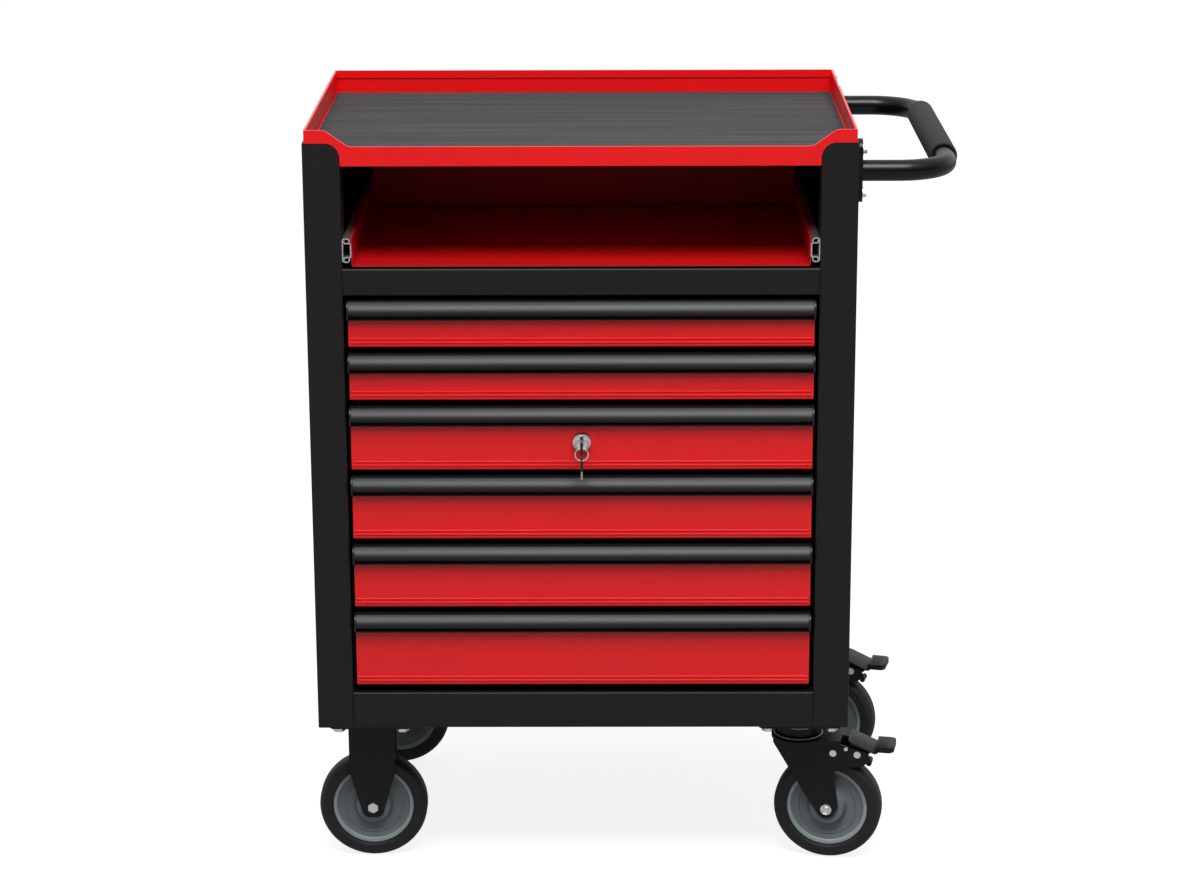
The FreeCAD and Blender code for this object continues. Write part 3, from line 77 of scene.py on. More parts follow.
# An sRGB hex value turned to the linear colour that Blender's sockets take.
def linear(hexColour):
    parts = [int(hexColour[i:i + 2], 16) / 255 for i in (1, 3, 5)]
    return tuple(p / 12.92 if p <= 0.04045 else ((p + 0.055) / 1.055) ** 2.4 for p in parts) + (1,)


# Adds a node with its settings, its socket values and the links that feed it.
def addNode(tree, kind, settings=None, inputs=None, links=None):
    node = tree.nodes.new(kind)
    for name, value in (settings or {}).items():
        setattr(node, name, value)
    for name, value in (inputs or {}).items():
        node.inputs[name].default_value = value
    for name, source in (links or {}).items():
        tree.links.new(source, node.inputs[name])
    return node


# A new material: its empty tree, its output and the piece's own coordinates, in metres.
def newMaterial(name):
    material = bpy.data.materials.new(name)
    material.use_nodes = True
    tree = material.node_tree
    tree.nodes.clear()
    output = tree.nodes.new("ShaderNodeOutputMaterial")
    place = tree.nodes.new("ShaderNodeTexCoord").outputs["Object"]
    return material, tree, output, place


stageLook = {
    "floorSize": 40,
    "floorColour": "#8C8C8C",
    "floorGlow": 0.84,       # added for the camera, so that the pale floor reads as white paper
    "floorSheen": 0.15,      # added where gloss mirrors the floor
    "worldSeen": 1.0,        # white behind the cart
    "worldFront": 0.05,      # the studio behind the camera is dim
    "worldBack": 0.85,       # the white backdrop lights from behind
    "worldCeiling": 0.75,    # a white ceiling from about 35 degrees up
}


# A pale paper floor, and a studio that is dim in front, bright behind and white above.
def addStage(look):
    bpy.ops.mesh.primitive_plane_add(size=look["floorSize"], location=(0, 0, 0))
    floor = bpy.context.object
    floor.name = "studioFloor"
    material, tree, output = newMaterial("paleStudioPaper")[:3]
    paper = addNode(tree, "ShaderNodeBsdfDiffuse", inputs={"Color": linear(look["floorColour"])})
    ray = tree.nodes.new("ShaderNodeLightPath")
    toCamera = addNode(tree, "ShaderNodeMath", {"operation": "MULTIPLY"}, {1: look["floorGlow"]},
                       {0: ray.outputs["Is Camera Ray"]})
    toGloss = addNode(tree, "ShaderNodeMath", {"operation": "MULTIPLY"}, {1: look["floorSheen"]},
                      {0: ray.outputs["Is Glossy Ray"]})
    level = addNode(tree, "ShaderNodeMath", {"operation": "ADD"},
                    links={0: toCamera.outputs[0], 1: toGloss.outputs[0]})
    glow = addNode(tree, "ShaderNodeEmission", inputs={"Color": (1, 1, 1, 1)},
                   links={"Strength": level.outputs[0]})
    both = tree.nodes.new("ShaderNodeAddShader")
    tree.links.new(paper.outputs[0], both.inputs[0])
    tree.links.new(glow.outputs[0], both.inputs[1])
    tree.links.new(both.outputs[0], output.inputs["Surface"])
    floor.data.materials.append(material)

    world = bpy.data.worlds.new("softStudio")
    bpy.context.scene.world = world
    world.use_nodes = True
    tree = world.node_tree
    tree.nodes.clear()
    direction = tree.nodes.new("ShaderNodeTexCoord").outputs["Generated"]
    parts = addNode(tree, "ShaderNodeSeparateXYZ", links={0: direction})
    walls = addNode(tree, "ShaderNodeMapRange",
                    inputs={"From Min": -0.5, "From Max": 0.6, "To Min": look["worldFront"],
                            "To Max": look["worldBack"]},
                    links={"Value": parts.outputs["Y"]})
    ceiling = addNode(tree, "ShaderNodeMapRange",
                      inputs={"From Min": 0.45, "From Max": 0.75, "To Max": look["worldCeiling"]},
                      links={"Value": parts.outputs["Z"]})
    fill = addNode(tree, "ShaderNodeMath", {"operation": "MAXIMUM"},
                   links={0: walls.outputs[0], 1: ceiling.outputs[0]})
    ray = tree.nodes.new("ShaderNodeLightPath")
    seen = addNode(tree, "ShaderNodeMath", {"operation": "MAXIMUM"},
                   links={0: ray.outputs["Is Camera Ray"], 1: ray.outputs["Is Transmission Ray"]})
    strength = addNode(tree, "ShaderNodeMapRange", inputs={"To Max": look["worldSeen"]},
                       links={"Value": seen.outputs[0], "To Min": fill.outputs[0]})
    sky = addNode(tree, "ShaderNodeBackground", inputs={"Color": (1, 1, 1, 1)},
                  links={"Strength": strength.outputs[0]})
    output = tree.nodes.new("ShaderNodeOutputWorld")
    tree.links.new(sky.outputs[0], output.inputs["Surface"])


softBoxes = {
    "overheadFront": {"place": (0.2, -2.0, 3.9), "target": (0, 0, 0.5), "size": (2.6, 1.6), "power": 170},
    "left": {"place": (-2.7, -2.2, 3.0), "target": (0, 0, 0.5), "size": (1.2, 1.8), "power": 6},
    "right": {"place": (2.8, -2.0, 2.8), "target": (0, 0, 0.5), "size": (1.2, 1.8), "power": 4},
}


# Each soft box is an area light aimed at its target.
def addLights(boxes):
    for name, box in boxes.items():
        data = bpy.data.lights.new(name + "SoftBox", "AREA")
        data.shape = "RECTANGLE"
        data.size, data.size_y = box["size"]
        data.energy = box["power"]
        lamp = bpy.data.objects.new(name + "SoftBox", data)
        bpy.context.scene.collection.objects.link(lamp)
        lamp.location = box["place"]
        aim = Vector(box["target"]) - lamp.location
        lamp.rotation_euler = aim.to_track_quat("-Z", "Y").to_euler()


addCamera(cameraView)
addStage(stageLook)
addLights(softBoxes)
bpy.context.scene.view_settings.view_transform = "Standard"
print("camera, floor and light set")


# Powder-coated sheet steel: an even colour whose fine orange-peel skin softens the gloss.
def powderCoat(name, colour, roughness, grainMm, bump, gloss=0.4):
    material, tree, output, place = newMaterial(name)
    peel = addNode(tree, "ShaderNodeTexNoise", inputs={"Scale": 1000 / grainMm, "Detail": 2},
                   links={"Vector": place})
    cloud = addNode(tree, "ShaderNodeTexNoise", inputs={"Scale": 9, "Detail": 3}, links={"Vector": place})
    shade = addNode(tree, "ShaderNodeMapRange", inputs={"To Min": 0.93, "To Max": 1.06},
                    links={"Value": cloud.outputs["Fac"]})
    tone = addNode(tree, "ShaderNodeHueSaturation", inputs={"Color": linear(colour)},
                   links={"Value": shade.outputs[0]})
    haze = addNode(tree, "ShaderNodeMapRange",
                   inputs={"To Min": roughness - 0.04, "To Max": roughness + 0.05},
                   links={"Value": cloud.outputs["Fac"]})
    relief = addNode(tree, "ShaderNodeBump", inputs={"Strength": bump, "Distance": 0.0001},
                     links={"Height": peel.outputs["Fac"]})
    shader = addNode(tree, "ShaderNodeBsdfPrincipled", inputs={"IOR": 1.5, "Specular IOR Level": gloss},
                     links={"Base Color": tone.outputs[0], "Roughness": haze.outputs[0],
                            "Normal": relief.outputs[0]})
    tree.links.new(shader.outputs[0], output.inputs["Surface"])
    return material


# Plated or polished metal: a fine, slightly cloudy grain in the gloss.
def platedMetal(name, colour, roughness, grainMm, bump):
    material, tree, output, place = newMaterial(name)
    grain = addNode(tree, "ShaderNodeTexNoise", inputs={"Scale": 1000 / grainMm, "Detail": 3},
                    links={"Vector": place})
    haze = addNode(tree, "ShaderNodeMapRange",
                   inputs={"To Min": roughness - 0.07, "To Max": roughness + 0.07},
                   links={"Value": grain.outputs["Fac"]})
    relief = addNode(tree, "ShaderNodeBump", inputs={"Strength": bump, "Distance": 0.0001},
                     links={"Height": grain.outputs["Fac"]})
    shader = addNode(tree, "ShaderNodeBsdfPrincipled",
                     inputs={"Base Color": linear(colour), "Metallic": 1.0},
                     links={"Roughness": haze.outputs[0], "Normal": relief.outputs[0]})
    tree.links.new(shader.outputs[0], output.inputs["Surface"])
    return material


# Extruded aluminium, etched and anodised black: fine draw lines along the profile, which lies on X.
def blackAnodised(name, colour, roughness, lineMm, bump):
    material, tree, output, place = newMaterial(name)
    stretch = addNode(tree, "ShaderNodeMapping", inputs={"Scale": (2, 1000 / lineMm, 1000 / lineMm)},
                      links={"Vector": place})
    lines = addNode(tree, "ShaderNodeTexNoise", inputs={"Scale": 1, "Detail": 2},
                    links={"Vector": stretch.outputs[0]})
    haze = addNode(tree, "ShaderNodeMapRange",
                   inputs={"To Min": roughness - 0.06, "To Max": roughness + 0.06},
                   links={"Value": lines.outputs["Fac"]})
    relief = addNode(tree, "ShaderNodeBump", inputs={"Strength": bump, "Distance": 0.00005},
                     links={"Height": lines.outputs["Fac"]})
    shader = addNode(tree, "ShaderNodeBsdfPrincipled",
                     inputs={"Base Color": linear(colour), "IOR": 1.48},
                     links={"Roughness": haze.outputs[0], "Normal": relief.outputs[0]})
    tree.links.new(shader.outputs[0], output.inputs["Surface"])
    return material


# Moulded rubber or plastic: a matt skin with a fine pebble grain from the mould.
def moulded(name, colour, roughness, grainMm, bump):
    material, tree, output, place = newMaterial(name)
    pebble = addNode(tree, "ShaderNodeTexVoronoi", inputs={"Scale": 1000 / grainMm}, links={"Vector": place})
    cloud = addNode(tree, "ShaderNodeTexNoise", inputs={"Scale": 30, "Detail": 3}, links={"Vector": place})
    shade = addNode(tree, "ShaderNodeMapRange", inputs={"To Min": 0.88, "To Max": 1.1},
                    links={"Value": cloud.outputs["Fac"]})
    tone = addNode(tree, "ShaderNodeHueSaturation", inputs={"Color": linear(colour)},
                   links={"Value": shade.outputs[0]})
    relief = addNode(tree, "ShaderNodeBump", inputs={"Strength": bump, "Distance": 0.0002},
                     links={"Height": pebble.outputs["Distance"]})
    shader = addNode(tree, "ShaderNodeBsdfPrincipled", inputs={"Roughness": roughness, "IOR": 1.48},
                     links={"Base Color": tone.outputs[0], "Normal": relief.outputs[0]})
    tree.links.new(shader.outputs[0], output.inputs["Surface"])
    return material


# Calendered nitrile rubber sheet: its grooves along X are too fine to show here, so their light and shade are
# painted as bands of a few millimetres, some darker (painted shade) and duller, some lighter (painted
# highlight).
def ribbedRubber(name, colour, roughness, bandMm):
    material, tree, output, place = newMaterial(name)
    stretch = addNode(tree, "ShaderNodeMapping", inputs={"Scale": (1.5, 1000 / bandMm, 0)},
                      links={"Vector": place})
    paintedRibLightBands = addNode(tree, "ShaderNodeTexNoise", inputs={"Scale": 1.6, "Detail": 2, "Roughness": 0.6},
                    links={"Vector": stretch.outputs[0]})
    shade = addNode(tree, "ShaderNodeMapRange",
                    inputs={"From Min": 0.3, "From Max": 0.7, "To Min": 0.4, "To Max": 1.6},
                    links={"Value": paintedRibLightBands.outputs["Fac"]})
    tone = addNode(tree, "ShaderNodeHueSaturation", inputs={"Color": linear(colour)},
                   links={"Value": shade.outputs[0]})
    haze = addNode(tree, "ShaderNodeMapRange",
                   inputs={"To Min": roughness + 0.12, "To Max": roughness - 0.12},
                   links={"Value": paintedRibLightBands.outputs["Fac"]})
    grain = addNode(tree, "ShaderNodeTexNoise", inputs={"Scale": 900, "Detail": 1}, links={"Vector": place})
    relief = addNode(tree, "ShaderNodeBump", inputs={"Strength": 0.2, "Distance": 0.0001},
                     links={"Height": grain.outputs["Fac"]})
    shader = addNode(tree, "ShaderNodeBsdfPrincipled", inputs={"IOR": 1.48},
                     links={"Base Color": tone.outputs[0], "Roughness": haze.outputs[0],
                            "Normal": relief.outputs[0]})
    tree.links.new(shader.outputs[0], output.inputs["Surface"])
    return material


# Each finish: what makes it, sRGB colour, roughness, then its grain's size in mm, its relief and its gloss.
finishLooks = {
    "redPowderCoat": (powderCoat, "#EA0D13", 0.3, 1.2, 0.03, 0.5),          # bright and even, a soft mirror
    "paintedShadeRedPowderCoat": (powderCoat, "#B30C10", 0.36, 1.2, 0.03, 0.4),     # the same red, darkened as painted shade for the tray deep inside
    "blackPowderCoat": (powderCoat, "#0F0F10", 0.5, 1.0, 0.25, 0.35),       # matt, with a fine sandy skin
    "blackGlossPaint": (powderCoat, "#080809", 0.3, 1.0, 0.04, 0.3),        # smooth tube with long highlights
    "blackCastorPaint": (powderCoat, "#0D0D0E", 0.44, 1.5, 0.2, 0.3),       # dipped pressings, half matt
    "zincPlatedSteel": (platedMetal, "#EEF1F3", 0.36, 0.8, 0.1),            # pale blue-grey and hazy
    "shadeDarkenedZinc": (platedMetal, "#1A1A1B", 0.4, 0.8, 0.1),         # zinc darkened as painted shade for the slides in the drawers' dark side gaps, with a dull sheen
    "chromePlatedZinc": (platedMetal, "#EEF0F1", 0.2, 1.0, 0.05),           # die-cast lock, nearly a mirror
    "nickelPlatedBrass": (platedMetal, "#CBBF9C", 0.26, 0.6, 0.1),          # keys' blades, pale and warm
    "blackAnodisedAluminium": (blackAnodised, "#0D0D0E", 0.47, 0.5, 0.02),  # satin with lengthwise lines
    "ribbedNitrileRubber": (ribbedRubber, "#1D1E20", 0.6, 9),               # dark grey, with the ribs' painted highlight and shade in bands
    "nitrileFoamGrip": (moulded, "#1A1A1C", 0.78, 0.9, 0.5),                # dull, pebbled
    "greyNylonHub": (moulded, "#6E7679", 0.4, 1.2, 0.1),                    # cool mid grey
    "greyNylonRing": (moulded, "#A2AAAE", 0.4, 1.2, 0.1),                   # the hub's paler outer ring
    "blackTyreRubber": (moulded, "#131314", 0.62, 1.4, 0.35),               # matt, with a fine grain
    "blackKeyPlastic": (moulded, "#121213", 0.4, 0.8, 0.2),                 # smooth moulded bow
}
finishes = {name: make(name, *look) for name, (make, *look) in finishLooks.items()}

nodeFinishes = {
    # the pull-out tray takes the red darkened as painted shade
    "paintedShadeRedPowderCoat": ["sliding_tray"],
    "redPowderCoat": ["top_tray"] + [f"drawer_box_{n}" for n in range(1, 7)],
    "blackPowderCoat": ["left_side_panel", "right_side_panel", "back_panel", "rear_top_rail", "front_sill",
                        "floor_pan", "caster_channels", "rear_uprights"],
    "blackGlossPaint": ["push_handle"],
    "blackCastorPaint": ["rigid_bracket_front", "rigid_bracket_rear", "swivel_plate_front",
                         "swivel_plate_rear", "swivel_fork_front", "swivel_fork_rear",
                         "brake_pedal_front", "brake_pedal_rear"],
    "zincPlatedSteel": ["cabinet_slide_rails", "sliding_tray_rails", "handle_bolts", "caster_bolts",
                        "rigid_axles", "swivel_axle_front", "swivel_axle_rear", "key_ring"],
    # the drawers' slides are zinc darkened as painted shade
    "shadeDarkenedZinc": [f"drawer_rails_{n}" for n in range(1, 7)],
    "chromePlatedZinc": ["lock_housing", "lock_cylinder"],
    "blackAnodisedAluminium": [f"drawer_pull_{n}" for n in range(1, 7)],
    "ribbedNitrileRubber": ["ribbed_mat"],
    "nitrileFoamGrip": ["handle_grip"],
    "greyNylonHub": [f"wheel_hub_{end}_{side}" for end in ("front", "rear") for side in ("left", "right")],
    "blackTyreRubber": [f"tyre_{end}_{side}" for end in ("front", "rear") for side in ("left", "right")],
    "blackKeyPlastic": ["key", "spare_key"],
}

for finish, names in nodeFinishes.items():
    for name in names:
        data = nodes[name].data
        data.materials.clear()
        data.materials.append(finishes[finish])


# Gives a second finish to the faces whose middles, measured from the cabinet's zero, pass the test.
def secondFinish(data, finish, test):
    data.materials.append(finishes[finish])
    for face in data.polygons:
        if test(face.center - cabinetZero):
            face.material_index = 1


castorPlaces = {
    "front": {"axis": Vector((248.5, 75, 0)) * mm, "turn": math.radians(-11)},
    "rear": {"axis": Vector((264, 358, 0)) * mm, "turn": math.radians(-15)},
}
forkOuter = 17.5 * mm       # outside of a fork's cheek from the wheel's middle
proud = 0.05 * mm           # what stands past a cheek by more than this is a pin's bright head
underCrown = -41 * mm       # the pins are all below the fork's crown


# A place on a swivel castor as it stands: along the pedal, across it, and up from the cabinet's underside.
def castorPlace(end, along, across, up):
    castor = castorPlaces[end]
    flat = Vector((along, across, 0)) * mm
    flat.rotate(Matrix.Rotation(castor["turn"], 3, "Z").to_quaternion())
    return cabinetZero + castor["axis"] + flat + Vector((0, 0, up * mm))


for end, castor in castorPlaces.items():
    square = Vector((-math.sin(castor["turn"]), math.cos(castor["turn"]), 0))
    secondFinish(nodes[f"swivel_fork_{end}"].data, "zincPlatedSteel",
                 lambda place: place.z < underCrown
                 and abs((place - castor["axis"]).dot(square)) > forkOuter + proud)
keyBladeStart = -8.4 * mm   # the key's blade begins just in front of the lock
spareBladeTop = 308.9 * mm  # under the spare key's bow
drawerSlidesTop = 505 * mm  # the drawers' slides are darkened as painted shade, the pull-out tray's above them are bright
secondFinish(nodes["key"].data, "nickelPlatedBrass", lambda place: place.y > keyBladeStart)
secondFinish(nodes["spare_key"].data, "nickelPlatedBrass", lambda place: place.z < spareBladeTop)
secondFinish(nodes["cabinet_slide_rails"].data, "shadeDarkenedZinc",
             lambda place: place.z < drawerSlidesTop)
print("finishes given to", sum(len(names) for names in nodeFinishes.values()), "nodes")


# Makes the piece active and alone in the selection.
def workOn(piece):
    bpy.ops.object.select_all(action="DESELECT")
    piece.select_set(True)
    bpy.context.view_layer.objects.active = piece


# Selects the faces of the active piece whose middle and normal pass the test, in edit mode.
def selectFaces(piece, test):
    bpy.ops.object.mode_set(mode="EDIT")
    bpy.ops.mesh.select_mode(type="FACE")
    bpy.ops.mesh.select_all(action="DESELECT")
    bpy.ops.object.mode_set(mode="OBJECT")
    for face in piece.data.polygons:
        face.select = test(face.center, face.normal)
    bpy.ops.object.mode_set(mode="EDIT")


# Steps the selected round face inwards: each step is (inset, rise) in mm.
def stepInwards(steps):
    for inset, rise in steps:
        bpy.ops.mesh.inset(thickness=inset * mm, depth=rise * mm)


# Adds a modifier to the active piece and applies it at once.
def addModifier(piece, kind, **settings):
    modifier = piece.modifiers.new(kind.lower(), kind)
    for name, value in settings.items():
        setattr(modifier, name, value)
    bpy.ops.object.modifier_apply(modifier=modifier.name)


smoothAngle = math.radians(32)   # sharper edges stay sharp
bevelAngle = math.radians(50)    # flatter edges aren't softened


# Turns the piece's place and turn into its mesh, smooths it and hands it to its body.
def finishPiece(piece, name, finish, body, slot, *replaced):
    workOn(piece)
    bpy.ops.object.transform_apply(location=True, rotation=True, scale=True)
    bpy.ops.object.shade_smooth_by_angle(angle=smoothAngle)
    piece.name = name
    piece.data.name = name
    piece.data.materials.clear()
    piece.data.materials.append(finishes[finish])
    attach(piece, body)
    if replaced:
        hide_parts(*replaced)


# Joins the pieces into the first of them.
def joinPieces(pieces):
    bpy.ops.object.select_all(action="DESELECT")
    for piece in pieces:
        piece.select_set(True)
    bpy.context.view_layer.objects.active = pieces[0]
    bpy.ops.object.join()
    return bpy.context.object


# Adds a block between two corners given in mm.
def addBlock(low, high):
    middle = [(a + b) / 2 * mm for a, b in zip(low, high)]
    bpy.ops.object.select_all(action="DESELECT")
    size = [(b - a) * mm for a, b in zip(low, high)]
    bpy.ops.mesh.primitive_cube_add(size=1, location=middle, scale=size)
    bpy.ops.object.transform_apply(location=True, rotation=False, scale=True)
    return bpy.context.object


# Selects the edges of the active piece whose two ends both pass the test, in edit mode.
def selectEdges(piece, test):
    bpy.ops.object.mode_set(mode="EDIT")
    bpy.ops.mesh.select_mode(type="EDGE")
    bpy.ops.mesh.select_all(action="DESELECT")
    bpy.ops.object.mode_set(mode="OBJECT")
    points = piece.data.vertices
    for edge in piece.data.edges:
        edge.select = test(points[edge.vertices[0]].co, points[edge.vertices[1]].co)
    bpy.ops.object.mode_set(mode="EDIT")


# Rounds the edges of the piece that pass the test.
def roundEdges(piece, radius, segments, test):
    selectEdges(piece, test)
    bpy.ops.mesh.bevel(offset=radius * mm, segments=segments)
    bpy.ops.object.mode_set(mode="OBJECT")


# Softens all sharp edges of the active piece.
def softenEdges(piece, width, segments):
    addModifier(piece, "BEVEL", width=width * mm, segments=segments, limit_method="ANGLE",
                angle_limit=bevelAngle)


pullLook = {
    "height": 21.5,       # mm
    "half": 255.5,
    "wall": 1.4,
    "endGap": 0.05,       # the profile ends inside its caps
    # Sections, as points across the depth and up from the pull's top. The hood starts at the upstand, the web
    # ends in the lip, and the flange lies over the drawer's front.
    "hood": [(-0.75, -0.1), (-0.75, -1.5), (-2.4, -1.8), (-4.4, -3.3), (-6.3, -5.1), (-8.0, -7.1),
             (-9.3, -9.3), (-10.1, -11.6), (-10.3, -13.2)],
    "web": [(-0.75, -1.6), (-0.75, -18.6), (-2.9, -19.5), (-4.0, -21.4)],
    "flange": [(-1.4, -0.75), (11.9, -0.75)],
    "cap": {"thickness": 2.0, "front": -11.3, "back": -0.1, "topRound": 9.5, "lowRound": 7.0},
    "setback": 1.0,       # the fronts lie behind the cabinet's face
}
# The top of each drawer's pull above the cabinet's underside, in mm.
drawerTops = {1: 496.7, 2: 436.7, 3: 376.7, 4: 296.7, 5: 216.7, 6: 136.7}


# Draws a strip as long as the drawer through the points of its section, then gives it its wall.
def addStrip(look, points, top):
    half = (look["half"] - look["endGap"]) * mm
    places = [Vector((0, across * mm, top + up * mm)) for across, up in points]
    bpy.ops.object.select_all(action="DESELECT")
    bpy.ops.mesh.primitive_plane_add(size=1)
    strip = bpy.context.object
    for point in strip.data.vertices:
        place = places[0] if point.co.y > 0 else places[1]
        point.co = Vector((half if point.co.x > 0 else -half, place.y, place.z))
    for before, after in zip(places[1:], places[2:]):
        selectEdges(strip, lambda a, b: (a - b).length > half
                    and max((a.yz - before.yz).length, (b.yz - before.yz).length) < 0.01 * mm)
        bpy.ops.mesh.extrude_region_move(TRANSFORM_OT_translate={"value": after - before})
        bpy.ops.object.mode_set(mode="OBJECT")
    addModifier(strip, "SOLIDIFY", thickness=look["wall"] * mm, offset=0)
    return strip


# A drawer's pull: an extruded profile with an upstand, a hood that rounds over the fingers, a web and a lip.
def addPull(look, number):
    cap, top = look["cap"], drawerTops[number]
    bottom = top - look["height"]
    parts = [addStrip(look, look[section], top * mm) for section in ("hood", "web", "flange")]
    frontEdge, topEdge, lowEdge = (cap["front"] + 1) * mm, (top - 1) * mm, (bottom + 1) * mm
    for side in (-1, 1):
        low, high = sorted((side * look["half"], side * (look["half"] - cap["thickness"])))
        plate = addBlock((low, cap["front"], bottom), (high, cap["back"], top))
        roundEdges(plate, cap["topRound"], 8, lambda a, b: abs(a.x - b.x) > mm
                   and max(a.y, b.y) < frontEdge and max(a.z, b.z) > topEdge)
        roundEdges(plate, cap["lowRound"], 8, lambda a, b: abs(a.x - b.x) > mm
                   and max(a.y, b.y) < frontEdge and max(a.z, b.z) < lowEdge)
        parts.append(plate)
    pull = joinPieces(parts)
    pull.location = cabinetZero + Vector((0, look["setback"] * mm, 0))
    finishPiece(pull, f"drawerPull{number}", "blackAnodisedAluminium", f"drawer_{number}", "dark_aluminium",
                f"drawer_pull_{number}")


for number in drawerTops:
    addPull(pullLook, number)
print("pulls made")

matLook = {
    "ribPitch": 6.0,      # mm from rib to rib
    "ribWidth": 3.6,
    "ribHeight": 1.0,
    "ribTop": 0.45,       # share of a rib's width at its top
    "edge": 1.2,          # plain border at the front and back
    "endBorder": 0.5,     # and at each end of a rib
}


# The tray's mat: a thin rubber sheet with fine ribs that run along the cart.
def addMat(look):
    low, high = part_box("ribbed_mat")
    size = high - low
    middle = low.x + size.x / 2
    ribHeight, pitch = look["ribHeight"] * mm, look["ribPitch"] * mm
    base = size.z - ribHeight
    bpy.ops.object.select_all(action="DESELECT")
    bpy.ops.mesh.primitive_cube_add(size=1, location=(middle, low.y + size.y / 2, low.z + base / 2),
                                    scale=(size.x, size.y, base))
    slab = bpy.context.object
    count = int((size.y / mm - 2 * look["edge"]) / look["ribPitch"])
    start = low.y + (size.y - (count - 1) * pitch) / 2
    bpy.ops.mesh.primitive_cube_add(size=1, location=(middle, start, high.z - ribHeight / 2),
                                    scale=(size.x - 2 * look["endBorder"] * mm, look["ribWidth"] * mm,
                                           ribHeight))
    rib = bpy.context.object
    bpy.ops.object.transform_apply(location=False, rotation=False, scale=True)
    selectFaces(rib, lambda at, normal: normal.z > 0.9)
    bpy.ops.transform.resize(value=(1, look["ribTop"], 1))
    bpy.ops.object.mode_set(mode="OBJECT")
    addModifier(rib, "ARRAY", count=count, use_relative_offset=False, use_constant_offset=True,
                constant_offset_displace=(0, pitch, 0))
    mat = joinPieces([slab, rib])
    finishPiece(mat, "ribbedMat", "ribbedNitrileRubber", "cabinet", "mat_rubber", "ribbed_mat")


addMat(matLook)
print("mat made")

gripLook = {
    "bore": 11.8,         # mm, radius round the tube
    "endRound": 1.612,    # bevel of the ends' edges
    "sides": 72,
}


# The foam sleeve on the handle: a thick tube with soft, rolled ends.
def addGrip(look):
    low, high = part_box("handle_grip")
    middle = (low + high) / 2
    radius = (high.x - low.x) / 2
    bpy.ops.object.select_all(action="DESELECT")
    bpy.ops.mesh.primitive_cylinder_add(vertices=look["sides"], radius=radius, depth=high.y - low.y,
                                        end_fill_type="NOTHING", location=middle,
                                        rotation=(math.radians(90), 0, 0))
    sleeve = bpy.context.object
    bpy.ops.object.transform_apply(location=False, rotation=True, scale=False)
    addModifier(sleeve, "SOLIDIFY", thickness=radius - look["bore"] * mm, offset=-1)
    softenEdges(sleeve, look["endRound"], 5)
    finishPiece(sleeve, "foamGrip", "nitrileFoamGrip", "cabinet", "grip_foam", "handle_grip")


addGrip(gripLook)
print("grip made")

hubLook = {
    "sides": 96,
    "radius": 46.5,       # mm, under the tyre
    "ringFace": 9.5,      # the outer ring's face from the wheel's middle
    "bore": 4.06,
    # From the tyre inwards: (inset, rise) of each turned step, in mm.
    "steps": [(0.35, 0.0), (3.4, 0.0), (0.5, -2.9), (6.6, -1.2), (0.45, 0.7), (1.7, 0.0), (0.5, -1.3),
              (7.6, -0.9), (1.8, 0.5), (1.9, 2.2), (1.5, 3.8), (1.0, 3.3), (0.9, 0.5), (5.2, 0.0),
              (0.4, -1.0), (4.6, 0.0)],
    "ringInner": 42.7,    # the lighter ring reaches in to this radius
}
wheelTurns = {("front", "left"): 0.0, ("rear", "left"): 0.0,
              ("front", "right"): castorPlaces["front"]["turn"],
              ("rear", "right"): castorPlaces["rear"]["turn"]}


# The middle of a wheel, from the CAD's hub.
def wheelMiddle(end, side):
    low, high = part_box(f"wheel_hub_{end}_{side}")
    return (low + high) / 2


# A wheel's moulded hub: an outer ring, a dish with a turned step and a boss that flares from it.
def addHub(look, end, side):
    middle = wheelMiddle(end, side)
    toBore = look["radius"] - look["bore"] - sum(step[0] for step in look["steps"])
    bpy.ops.object.select_all(action="DESELECT")
    bpy.ops.mesh.primitive_cylinder_add(vertices=look["sides"], radius=look["radius"] * mm,
                                        depth=2 * look["ringFace"] * mm)
    hub = bpy.context.object
    for facing in (1, -1):
        selectFaces(hub, lambda at, normal: normal.z * facing > 0.99)
        stepInwards(look["steps"])
        bpy.ops.mesh.inset(thickness=toBore * mm, depth=0)
        bpy.ops.object.mode_set(mode="OBJECT")
    selectFaces(hub, lambda at, normal: abs(normal.z) > 0.99 and at.xy.length < 0.1 * mm)
    bpy.ops.mesh.bridge_edge_loops()
    bpy.ops.mesh.select_all(action="SELECT")
    bpy.ops.mesh.remove_doubles(threshold=1e-6)
    bpy.ops.mesh.normals_make_consistent(inside=False)
    bpy.ops.object.mode_set(mode="OBJECT")
    hub.rotation_euler = (math.radians(90), 0, wheelTurns[(end, side)])
    hub.location = middle
    finishPiece(hub, f"wheelHub{end.title()}{side.title()}", "greyNylonHub", f"wheel_{end}_{side}",
                "hub_plastic", f"wheel_hub_{end}_{side}")
    centre = middle - cabinetZero
    secondFinish(hub.data, "greyNylonRing", lambda place: (place - centre).length > look["ringInner"] * mm)


for wheelEnd, wheelSide in wheelTurns:
    addHub(hubLook, wheelEnd, wheelSide)
print("hubs made")

axleLook = {
    "radius": 4.0,        # mm
    "half": 17.5,         # to the outside of the fork
    "headRadius": 6.5,
    "headHeight": 3.0,
    "sides": 48,
    # From the head's edge inwards: (inset, rise) of each step, in mm.
    "hexagonSteps": [(0.6, 0), (2.0, -0.5), (1.2, 0.1)],
    "rivetSteps": [(1.3, 0), (0.35, -0.7), (1.2, 0), (0.35, 0.7), (1.4, 0), (0.5, -0.6)],
    "edge": 0.3,
}


